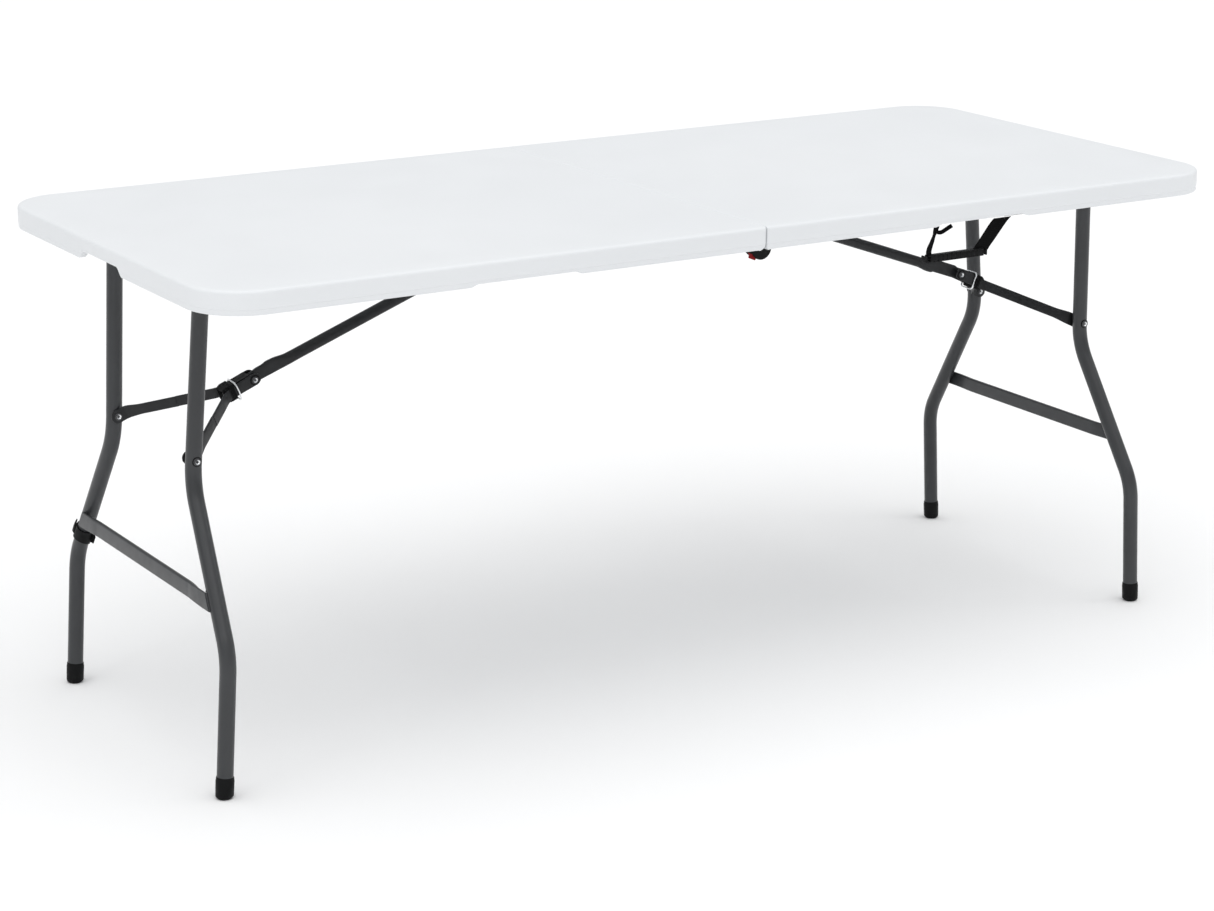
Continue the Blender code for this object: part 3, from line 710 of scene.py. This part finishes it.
def make_latch():
    outline = [(-0.0204, 0.7205), (-0.0209, 0.7160), (-0.0200, 0.7152), (-0.0108, 0.7114),
               (-0.0098, 0.7117), (-0.0080, 0.7160), (-0.0120, 0.7200), (-0.0150, 0.7240),
               (-0.0190, 0.7330), (-0.0240, 0.7402), (-0.0268, 0.7412), (-0.0274, 0.7388),
               (-0.0222, 0.7290)]
    bm = bmesh.new()
    skin(bm, [[(x, -y, z) for x, z in outline] for y in LATCH_Y])
    low, high = LATCH_Y[1] - 0.0002, LATCH_Y[1] + 0.0005
    for k in range(3):
        ridge = rounded(0.0030, 0.00035, 0.0003, 2)
        skin(bm, [[(-0.0128 + 0.0009 * k + a, -y, 0.7138 + 0.0016 * k + b - a * 0.6)
                   for a, b in ridge] for y in (low, high)])
    piece("latch_tab", bm, RED, "latch", ["latch_lever"], angle=35, bevel=0.0005)


# ---- legs
def make_legs(sx):
    side, body = SIDES[sx], SIDES[sx] + "_legs"
    pivot = mirrored(PIVOT, sx)
    bm = bmesh.new()
    ends = [pivot + ACROSS * AXLE_END * s for s in (-1, -0.4, 0.4, 1)]
    hollow_tube(bm, ends, UPWARD, AXLE_R, 0.0015, 48)
    piece(side + "_axle_tube", bm, STEEL, body, [side + "_leg_axle"], angle=40)

    for sy, end in ENDS.items():
        top_z = PIVOT.z - AXLE_R - 0.0006
        marks = [(leg_y(top_z), top_z), KNEE, ANKLE, (FOOT_Y, 0.005)]
        marks = [Vector((sx * leg_x(z), sy * y, z)) for y, z in marks]
        path = resample(fillet(marks, (KNEE_R, ANKLE_R), 20), 0.02)
        bm = bmesh.new()
        hollow_tube(bm, path, Vector((1, 0, 0)), LEG_R, LEG_WALL, 48)
        piece(f"{side}_leg_tube_{end}", bm, STEEL, body, [f"{side}_leg_{end}"], angle=45)

        bm = bmesh.new()
        saddle = []
        for k in range(49):
            a = 2 * pi * k / 48
            x, y = LEG_R * cos(a), LEG_R * sin(a)
            lift = sqrt(max(AXLE_R ** 2 - x * x, 0.0))
            saddle.append(Vector((sx * leg_x(top_z) + x * 0.86, sy * leg_y(top_z) + y,
                                  PIVOT.z - max(lift * 0.82, 0.0055) - 0.0012)))
        weld(bm, saddle, 0.0021, 3.0 + sx + sy)
        piece(f"{side}_axle_weld_{end}", bm, WELD, body, angle=80)

        centre = Vector((sx * RIVET.x, sy * leg_y(RIVET_Z), RIVET_Z))
        out = Vector((0, sy, 0))
        bm = bmesh.new()
        washer(bm, centre + out * (LEG_R - 0.0006), out, HEAD_R * 1.22, 0.0011)
        hollow_rivet(bm, centre + out * (LEG_R + 0.0005), out)
        inner = abs(centre.y) - ARM_END_Y - ARM_T / 2 - GAP
        lathe(bm, centre, (0, -sy, 0), [(LEG_R - 0.002, 0.0), (LEG_R - 0.002, 0.0060),
                                        (inner - 0.0002, 0.0060), (inner, 0.0055),
                                        (inner, 0.0)], 32, index=2)
        piece(f"{side}_leg_pin_{end}", bm, [DULL_ZINC, ZINC, BLACK], body,
              [f"{side}_leg_rivet_{end}"], angle=30)

        foot = Vector((sx * FOOT_X, sy * FOOT_Y, 0.0))
        lean = (Vector((sx * leg_x(CAP_H), sy * FOOT_Y, CAP_H)) - foot).normalized()
        profile = [(0.0, CAP_R - 0.0034), (0.0006, CAP_R - 0.0024), (0.0030, CAP_R - 0.0004),
                   (0.0045, CAP_R + 0.0001), (0.0240, CAP_R + 0.0004), (0.0265, CAP_R + 0.0004),
                   (0.0285, CAP_R), (0.0315, LEG_R + 0.0009), (0.0326, LEG_R + 0.0004),
                   (0.0328, LEG_R + 0.0001), (0.0300, LEG_R + 0.00005), (0.0050, LEG_R - 0.0004),
                   (0.0045, 0.0)]
        u = (Vector((1, 0, 0)) - lean * lean.x).normalized()
        v = (ACROSS - lean * lean.y).normalized()
        loops = []
        for h, r in profile:
            ring = ring_of(max(r, 1e-5), 48)
            if h < 0.004:  # the sole is level
                loops.append([foot + Vector((a, b, h)) for a, b in ring])
            else:
                loops.append([foot + lean * h + u * a + v * b for a, b in ring])
        bm = bmesh.new()
        skin(bm, loops)
        piece(f"{side}_foot_boot_{end}", bm, BLACK, body, [f"{side}_foot_cap_{end}"], angle=50)

    make_crossbar(sx)


def make_crossbar(sx):
    side, body = SIDES[sx], SIDES[sx] + "_legs"
    mid = leg_y(BAR_Z)
    lap = LEG_R + 0.0002 + 0.0016
    marks = [(-mid + 0.0016, lap), (-mid + 0.028, lap), (-mid + 0.066, BAR_RUN),
             (mid - 0.066, BAR_RUN), (mid - 0.028, lap), (mid - 0.0016, lap)]
    marks = [Vector((sx * (leg_x(BAR_Z) + off), y, BAR_Z)) for y, off in marks]
    path = resample(fillet(marks, (0.10, 0.10, 0.10, 0.10), 8), 0.004)
    lean = Vector((sx * (leg_x(1.0) - leg_x(0.0)), 0.0, 1.0)).normalized()

    def section(i):
        inside = min(path[i].y + mid, mid - path[i].y)
        thick = ramp(inside, [(0.022, 0.0016), (0.060, 0.0036)])
        tall = BAR_H / 2 * ramp(inside, [(0.022, 1.0), (0.060, 0.985)])
        return rounded(thick, tall, thick * 0.82, 5)

    bm = bmesh.new()
    sweep(bm, path, lean, section)
    for vert in bm.verts:  # the ends are cut along the slope of the legs
        near = smooth((abs(vert.co.y) - mid + 0.060) / 0.050)
        slope = (leg_y(vert.co.z) - mid) * near
        vert.co.y += slope if vert.co.y > 0 else -slope
    piece(side + "_crossbar_tube", bm, STEEL, body, [side + "_crossbar"], angle=50)

    bm = bmesh.new()
    for sy in ENDS:
        for rise in (-1, 1):
            points = []
            z = BAR_Z + rise * (BAR_H / 2 + 0.0004)
            for k in range(9):
                turn = -sy * lerp(8, 42, k / 8)
                y = sy * leg_y(z) + LEG_R * 0.98 * sin(radians(turn))
                x = leg_x(z) + LEG_R * 0.98 * cos(radians(turn))
                points.append(Vector((sx * x, y, z)))
            weld(bm, points, 0.0011, 11.0 + sy + rise)
        points = [Vector((sx * (leg_x(z) + LEG_R + 0.0006), sy * (leg_y(z) - 0.0012), z))
                  for z in (BAR_Z + BAR_H * (k / 8 - 0.5) for k in range(9))]
        weld(bm, points, 0.0011, 17.0 + sy)
    piece(side + "_crossbar_welds", bm, WELD, body, angle=80)


def make_clip():
    centre_z = sum(CLIP_Z) / 2
    centre = Vector((-leg_x(centre_z), leg_y(centre_z), centre_z))
    run = Vector((-(leg_x(0.2) - leg_x(0.3)), leg_y(0.2) - leg_y(0.3), -0.1)).normalized()
    out = Vector((-1.0, 0.0, 0.0))
    out = (out - run * out.dot(run)).normalized()
    across = run.cross(out)
    bore = LEG_R + 0.0002
    outline = arc((0, 0), CLIP_R + 0.0004, 52, 308, 40) + arc((0, 0), bore, 308, 52, 40)
    bm = bmesh.new()
    loops = []
    half = (CLIP_Z[1] - CLIP_Z[0]) / 2
    corner = (0.847, 0.531)  # the direction of the lower edge's sharp corner
    for t in (-1.0, -0.94, -0.4, 0.4, 0.94, 1.0):
        swell = 1.0 if abs(t) > 0.95 else 1.0004
        low = 0.5 * (1 + t)
        loop = []
        for a, b in outline:  # the lower edge rises to both sides of its sharp corner
            round_to = (corner[0] * a * out.x - corner[1] * b) / CLIP_R
            lift = 0.0120 * max(-round_to, 0.0) + 0.0056 * max(round_to, 0.0)
            loop.append(centre + run * (t * half - low * lift) - out * a * swell
                        + across * b * swell)
        loops.append(loop)
    skin(bm, loops)
    for sign in (-1, 1):
        lip = []
        for k in range(9):
            t = k / 8
            angle = radians(sign * lerp(52, 62, t))
            radius = lerp(CLIP_R - 0.0009, CLIP_R + 0.0066, smooth(t))
            lip.append(centre - out * radius * cos(angle) + across * radius * sin(angle))
        sweep(bm, lip, run, lambda i: rounded(0.0010, 0.0104 - 0.0004 * i, 0.0006, 3))
    beside = (out * corner[0] + across * corner[1]).normalized()
    tongue = [centre + beside * (CLIP_R + 0.0014 + 0.0008 * sin(s * 110)) - run * s for s in
              (-0.004, 0.001, 0.006, 0.011, 0.016, 0.020, 0.0235)]
    sweep(bm, tongue, across,
          lambda i: rounded(lerp(0.0017, 0.0008, i / 6), lerp(0.0036, 0.0011, i / 6), 0.0008, 3))
    piece("transport_snap_clip", bm, BLACK, "left_legs", ["transport_clip"], angle=40, bevel=0.0003)


# ---- toggle braces
def make_brace(sx):
    side, body = SIDES[sx], SIDES[sx] + "_brace_bar"
    knuckle = mirrored(KNUCKLE[sx], sx)
    anchor = mirrored(ANCHOR, sx)
    total, along, up = link_frame(sx, ANCHOR, KNUCKLE[sx])

    stations = [s * 0.0008 for s in range(-9, 10)]
    stations += [0.012 + 0.002 * k for k in range(20)]
    stations += [lerp(0.052, total - 0.105, k / 24) for k in range(25)]
    stations += [total - 0.105 + 0.0025 * k for k in range(1, 42)]
    stations += [total + 0.0003 + 0.0008 * k for k in range(11)]
    loops = []
    for s in sorted(set(round(x, 5) for x in stations)):
        back = total - s
        if back > KNUCKLE_SPAN:
            tall = EYE_R if s >= 0 else sqrt(max(EYE_R ** 2 - s * s * 0.98, 1e-8))
            low = high = lerp(tall, BRACE_R, smooth((s - 0.018) / 0.024))
            thick = lerp(EYE_T, BRACE_R, smooth((s - 0.016) / 0.030))
            power = lerp(5.0, 2.0, smooth((s - 0.014) / 0.026))
        else:
            crest = {-1: [(-0.009, 0.0086), (0.0, 0.0092), (0.014, 0.0112), (0.020, 0.0112),
                          (0.033, 0.0130), (0.040, 0.0126), (0.066, BRACE_R)],
                     1: [(-0.009, 0.0086), (0.0, 0.0092), (0.010, 0.0124), (0.040, 0.0124),
                         (0.075, BRACE_R)]}[sx]
            high = ramp(back, crest)
            thick = ramp(back, [(0.020, 0.0030), (0.040, 0.0036), (0.080, BRACE_R)])
            power = ramp(back, [(0.030, 4.5), (0.080, 2.0)])
            belly = {-1: 0.0090, 1: 0.0113}[sx]
            low = ramp(back, [(0.0, 0.0088), (0.010, 0.0090), (0.0525, 0.0090), (0.059, belly),
                              (0.066, belly), (0.090, BRACE_R)])
            if back < 0:
                cap = sqrt(max(1.0 - (back / 0.0084) ** 2, 0.012))
                high, low = high * cap, low * cap
        centre = anchor + along * s
        loops.append([centre + ACROSS * a + up * b * (high if b > 0 else low) for a, b in
                      superellipse(thick, 1.0, power, 48)])
    bm = bmesh.new()
    skin(bm, loops)
    piece(side + "_brace_tube", bm, DARK_STEEL, body, [side + "_brace"], angle=50)

    corners = rounded(RING_Y, RING_Z, 0.0060, 8)
    offset = link_frame(sx, KNUCKLE[sx], RIVET)[1] * RING_AT
    drop = max(offset.dot(up) - RING_HANG, -RING_DROP)
    centre = knuckle + along * offset.dot(along) + up * drop
    outline = [Vector(corner) for corner in corners + corners[:1]]
    path = [centre + ACROSS * y + up * z + along * 0.0007 * sin(z * 180 + y * 90)
            for y, z in resample(outline, 0.0021)[:-1]]
    bm = bmesh.new()
    sweep(bm, path, along, lambda i: ring_of(RING_WIRE, 14), closed=True)
    piece(side + "_slide_ring", bm, ZINC, side + "_ring", [side + "_lock_ring"], angle=60)


def make_yoke(sx):
    side, body = SIDES[sx], SIDES[sx] + "_yoke"
    knuckle = mirrored(KNUCKLE[sx], sx)
    reach, along, up = link_frame(sx, KNUCKLE[sx], RIVET)
    inner, outer = CHEEK_Y, CHEEK_Y + CHEEK_T

    bm = bmesh.new()
    for sy in (-1, 1):
        outline = arc((0.0, 0.0006), 0.0092, 95, 265, 18)
        outline += [(0.0, -0.0086), (CLEVIS_LENGTH, -0.0086), (CLEVIS_LENGTH, 0.0105),
                    (0.0, 0.0098)]
        skin(bm, [[knuckle + along * s + ACROSS * sy * y + up * z for s, z in outline]
                  for y in (inner, outer)])
    web = [(0.0042, 0.0109), (0.0500, 0.0109), (0.0500, 0.0093), (0.0042, 0.0093)]
    skin(bm, [[knuckle + along * s + ACROSS * y + up * z for s, z in web]
              for y in (-outer - 0.0001, outer + 0.0001)])
    piece(side + "_clevis_channel", bm, BLACK, body, [side + "_clevis"], angle=35, bevel=0.0004)

    stations = []
    ribs, pitch = 7, (GRIP_SPAN[1] - GRIP_SPAN[0]) / 7
    for k in range(ribs):
        for t, grow in ((0.0, -0.0008), (0.12, -0.0001), (0.22, 0.0), (0.62, 0.0), (0.72, -0.0001),
                        (0.84, -0.0008), (0.97, -0.0008)):
            taper = -0.0022 * smooth((k + t - ribs * 0.55) / (ribs * 0.5))
            stations.append((GRIP_SPAN[0] + pitch * (k + t), grow + taper))
    bm = bmesh.new()
    corner = 0.0036
    for sy in (-1, 1, 0):  # two ribbed sides and the bridge between them, open below
        loops = []
        for s, grow in stations:
            wide, tall = 0.0152 + grow, 0.0125 + grow
            if sy:
                section = [(inner, tall), (inner, -tall)]
                section += arc((wide - corner, -tall + corner), corner, 270, 360, 5)
                section += arc((wide - corner, tall - corner), corner, 0, 90, 5)
                section = [(sy * a, b) for a, b in section]
            else:
                edge, crown = inner + 0.0003, tall - 0.0001
                section = [(-edge, 0.0092), (edge, 0.0092), (edge, crown), (-edge, crown)]
            loops.append([knuckle + along * s + ACROSS * a + up * (b + 0.0002) for a, b in section])
        skin(bm, loops)
    piece(side + "_clevis_grip", bm, BLACK, body, angle=40)

    arm_y = outer + GAP + ARM_T / 2
    bm = bmesh.new()
    lathe(bm, knuckle, ACROSS, [(-arm_y, 0.0029), (arm_y, 0.0029)], 24)
    face = arm_y + ARM_T / 2
    for sy in ENDS:
        out = Vector((0, sy, 0))
        washer(bm, knuckle + out * (face - 0.0002), out, 0.0082, 0.0009)
        hollow_rivet(bm, knuckle + out * (face + 0.0006), out, 0.0056, 0.0022)
    piece(side + "_knuckle_pin", bm, [DULL_ZINC, ZINC, BLACK], body,
          [side + "_knuckle_rivet"], angle=30)

    for sy, end in ENDS.items():
        marks = [(-0.0109, arm_y), (0.0470, arm_y), (0.1600, ARM_END_Y),
                 (reach + 0.0108, ARM_END_Y)]
        marks = [knuckle + along * s + ACROSS * sy * y for s, y in marks]
        path = resample(fillet(marks, (0.034, 0.016), 12), 0.0011)
        lug = 0.0106
        loops = []
        for point, run in zip(path, directions(path)):
            s = (point - knuckle).dot(along)
            tall = ramp(s, [(0.006, 0.0092), (0.024, 0.0090), (0.046, 0.0084),
                            (reach - 0.034, 0.0084), (reach - 0.012, lug)])
            if s < 0:
                tall = min(tall, 0.0092 * sqrt(max(1.0 - (s / 0.0110) ** 2, 0.016)))
            past = s - reach
            if past > 0:
                tall = min(lug, sqrt(max(0.01085 ** 2 - past ** 2, 0.0012 ** 2)))
            thick = ramp(s, [(0.045, 0.0010), (0.075, 0.0020), (reach - 0.04, 0.0020),
                             (reach - 0.014, 0.0014)])
            level = run.cross(up).normalized()
            inward = -sy * (thick - 0.0010) if s > 0.10 else 0.0
            middle = point + ACROSS * inward + up * 0.0006 * (1 - smooth((s - 0.02) / 0.03))
            loops.append([middle + level * a + up * b for a, b in
                          rounded(thick, tall, thick * 0.75, 4)])
        bm = bmesh.new()
        skin(bm, loops)
        piece(f"{side}_yoke_bar_{end}", bm, DARK_STEEL, body, [f"{side}_yoke_arm_{end}"], angle=50)

        rivet = mirrored(RIVET, sx)
        inward = Vector((0, -sy, 0))
        base = Vector((rivet.x, sy * (ARM_END_Y - 0.0018), rivet.z))
        bm = bmesh.new()
        hollow_rivet(bm, base, inward)
        piece(f"{side}_arm_pin_{end}", bm, [DULL_ZINC, ZINC], body,
              [f"{side}_arm_rivet_{end}"], angle=30)


# ---- carrying handle
def ribbon(name, stations, body, node, width, square=True, end=1.0):
    """Woven strap through (centre, width direction) stations, with corded edges."""
    points = [Vector(p) for p, _ in stations]
    wides = [Vector(w).normalized() for _, w in stations]
    fine, fine_w = [], []
    for i in range(len(points) - 1):
        p0, p1, p2, p3 = (points[max(i - 1, 0)], points[i], points[i + 1],
                          points[min(i + 2, len(points) - 1)])
        n = max(3, round((p2 - p1).length / 0.0009))
        for k in range(n):
            t = k / n
            fine.append(0.5 * ((2 * p1) + (p2 - p0) * t + (2 * p0 - 5 * p1 + 4 * p2 - p3) * t * t
                               + (3 * p1 - p0 - 3 * p2 + p3) * t ** 3))
            fine_w.append(wides[i].lerp(wides[i + 1], smooth(t)).normalized())
    fine.append(points[-1])
    fine_w.append(wides[-1])
    runs = directions(fine)
    travel = lengths(fine)
    cells = 28
    bm = bmesh.new()
    layer = bm.verts.layers.float_vector.new("weave")
    rings = []
    for point, wide, run, s in zip(fine, fine_w, runs, travel):
        if square:
            wide = (wide - run * wide.dot(run)).normalized()
        level = wide.cross(run).normalized()
        half = width / 2 * lerp(1.0, end, s / travel[-1])
        ring = []
        for face in (1, -1):
            for c in range(cells + 1):
                u = lerp(-1, 1, c / cells) * face
                cord = 0.00022 * (abs(u) > 0.86) - 0.0005 * (abs(u) > 0.985)
                rib = 0.00010 * cos(u * pi * 9)
                weft = 0.00005 * sin(s * 2 * pi / 0.0021 + c * pi)
                high = face * (STRAP_T / 2 - 0.0002 + cord + rib + weft)
                vert = bm.verts.new(point + wide * u * half + level * high)
                vert[layer] = (u * half, s, 0.0)
                ring.append(vert)
        rings.append(ring)
    for low, high in zip(rings, rings[1:]):
        for i in range(len(low)):
            j = (i + 1) % len(low)
            bm.faces.new((low[i], low[j], high[j], high[i]))
    bm.faces.new(rings[0])
    bm.faces.new(rings[-1][::-1])
    piece(name, bm, WEBBING, body, node, angle=60)


def make_handle():
    y = HANDLE_Y
    bm = bmesh.new()
    x0, x1 = GRIP_X
    path = [Vector((lerp(x0 + 0.010, x1 - 0.010, k / 60), y, GRIP_Z)) for k in range(61)]

    def section(i):
        t = i / 60
        groove = 0.0009 * (0.5 - 0.5 * cos(t * 2 * pi * 11)) * (0.08 < t < 0.92)
        return rounded(0.0060 - groove * 0.6, 0.0050 - groove, 0.0028, 4)

    sweep(bm, path, UPWARD, section)
    for rise in (-1, 1):
        rail = [Vector((x, y, GRIP_Z + rise * 0.0046)) for x in (x0 + 0.006, x1 - 0.006)]
        sweep(bm, resample(rail, 0.01), UPWARD, lambda i: rounded(0.0052, 0.0013, 0.0011, 3))
    for x, sign in ((x0, 1), (x1, -1)):
        post = [Vector((x + sign * 0.0015, y - 0.0062, GRIP_Z)),
                Vector((x + sign * 0.0015, y + 0.0062, GRIP_Z))]
        sweep(bm, resample(post, 0.003), UPWARD, lambda i: rounded(0.0014, 0.0050, 0.0012, 3))
    for k in range(11):
        x = lerp(x0 + 0.018, x1 - 0.018, k / 10)
        rib = [Vector((x, y, GRIP_Z + z)) for z in (-0.0054, -0.0027, 0.0027, 0.0054)]
        sweep(bm, rib, Vector((1, 0, 0)), lambda i: rounded(0.0060, 0.0010, 0.0007, 2))
    piece("handle_bar", bm, BLACK, "handle", ["handle_grip"], angle=40)

    top = HANDLE_PIVOT_Z
    left = [((x, y, GRIP_Z + rise), (across, depth, 0.0)) for x, rise, across, depth in
            ((0.3200, 0.0005, 1.0, 0.10), (0.3180, 0.0085, 1.0, 0.12), (0.3190, 0.0150, 1.0, 0.16),
             (0.3235, 0.0255, 0.80, 0.30), (0.3272, 0.0350, 0.72, 0.42),
             (0.3300, 0.0438, 0.90, 0.22), (0.3318, 0.0502, 1.0, 0.0))]
    ribbon("handle_web_left", left, "handle", ["handle_strap_left"], width=0.0110)
    tail = [((x, y, top - drop), wide) for x, drop, wide in
            ((0.3305, 0.0070, (0.10, 0.35, 0.80)), (0.3345, 0.0100, (0.05, 0.35, 0.85)),
             (0.3410, 0.0106, (-0.05, 0.40, 0.85)), (0.3480, 0.0080, (-0.30, 0.40, 0.78)),
             (0.3550, 0.0048, (-0.40, 0.40, 0.70)), (0.3615, 0.0022, (-0.45, 0.40, 0.65)))]
    ribbon("handle_web_left_tail", tail, "handle", (), width=0.0065)

    # The wide strap lies in the plane of the table's side, slanting down to the grip
    flat = (1.0, 0.0, 0.0)
    right = [((x, y, top - drop), flat) for x, drop in
             ((0.4620, -0.0004), (0.4575, 0.0030), (0.4500, 0.0107), (0.4335, 0.0303),
              (0.4225, 0.0428), (0.4190, 0.0478))]
    ribbon("handle_web_right", right, "handle", ["handle_strap_right"], width=0.0345,
           square=False, end=0.92)
    for name, x, width in (("left", 0.3320, 0.0160), ("right", 0.4880, 0.0460)):
        up = [((x, y, z), flat) for z in (0.7289, 0.738, 0.749, 0.7597)]
        ribbon("handle_tab_" + name, up, "right_half", ["handle_anchor_" + name], width=width)


# ---- assemble
for sign in SIDES:
    make_top(sign)
    make_half_hardware(sign)
    make_legs(sign)
    make_brace(sign)
    make_yoke(sign)
make_hinge()
make_latch()
make_clip()
make_handle()


# ---- floor, light, camera
CAMERA_AT = (-2.5249, -3.9641, 1.6786)
CAMERA_TURN = (0.5604, 0.2823, 0.0073)  # yaw, pitch and roll in radians
SENSOR_MM, LENS_MM = 36.0, 89.2438
LIT_SPOT = (-0.75, -0.25, 0.35)


def make_stage():
    bm = bmesh.new()
    skin(bm, [[(x * 40, y * 40, z) for x, y in ((-1, -1), (1, -1), (1, 1), (-1, 1))]
              for z in (-0.02, -0.0002)])
    mesh = mesh_from("studio_floor", bm)
    mat, _, shader = material("pale_floor")
    shader.inputs["Base Color"].default_value = (0.95, 0.95, 0.95, 1.0)
    shader.inputs["Roughness"].default_value = 0.9
    shader.inputs["Specular IOR Level"].default_value = 0.1
    mesh.materials.append(mat)
    put("studio_floor", mesh)


def area(name, place, target, size, power):
    light = bpy.data.lights.new(name, "AREA")
    light.shape = "RECTANGLE"
    light.size = light.size_y = size
    light.energy = power
    obj = put(name, light)
    obj.location = place
    obj.rotation_mode = "QUATERNION"
    obj.rotation_quaternion = (Vector(target) - Vector(place)).to_track_quat("-Z", "Y")


def make_light():
    scene = bpy.context.scene
    world = bpy.data.worlds.new("studio")
    scene.world = world
    world.use_nodes = True
    back = world.node_tree.nodes["Background"]
    back.inputs["Color"].default_value = (0.985, 0.992, 1.0, 1.0)
    back.inputs["Strength"].default_value = 0.58
    sun = bpy.data.lights.new("overhead", "SUN")
    sun.energy = 1.70
    sun.angle = radians(85)
    lamp = put("overhead", sun)
    lamp.rotation_mode = "QUATERNION"
    lamp.rotation_quaternion = Vector((-0.10, -0.18, 0.96)).to_track_quat("Z", "Y")
    area("low_fill", (-2.6, -2.6, 0.9), (-0.9, 0.0, 0.35), 0.9, 1.5)
    area("left_softbox", (-7.5, -2.6, 3.8), LIT_SPOT, 0.8, 16)
    area("right_softbox", (5.8, -2.9, 4.0), LIT_SPOT, 0.8, 18)
    scene.view_settings.view_transform = "Standard"
    scene.view_settings.look = "None"


def make_camera():
    yaw, pitch, roll = CAMERA_TURN
    ahead = Vector((sin(yaw) * cos(pitch), cos(yaw) * cos(pitch), -sin(pitch)))
    level = Vector((cos(yaw), -sin(yaw), 0.0))
    rise = level.cross(ahead)
    right = level * cos(roll) + rise * sin(roll)
    rise = rise * cos(roll) - level * sin(roll)
    data = bpy.data.cameras.new("camera")
    data.sensor_width, data.lens = SENSOR_MM, LENS_MM
    camera = put("camera", data)
    turn = Matrix((right, rise, -ahead)).transposed()
    camera.matrix_world = Matrix.Translation(CAMERA_AT) @ turn.to_4x4()
    bpy.context.scene.camera = camera


make_stage()
make_light()
make_camera()
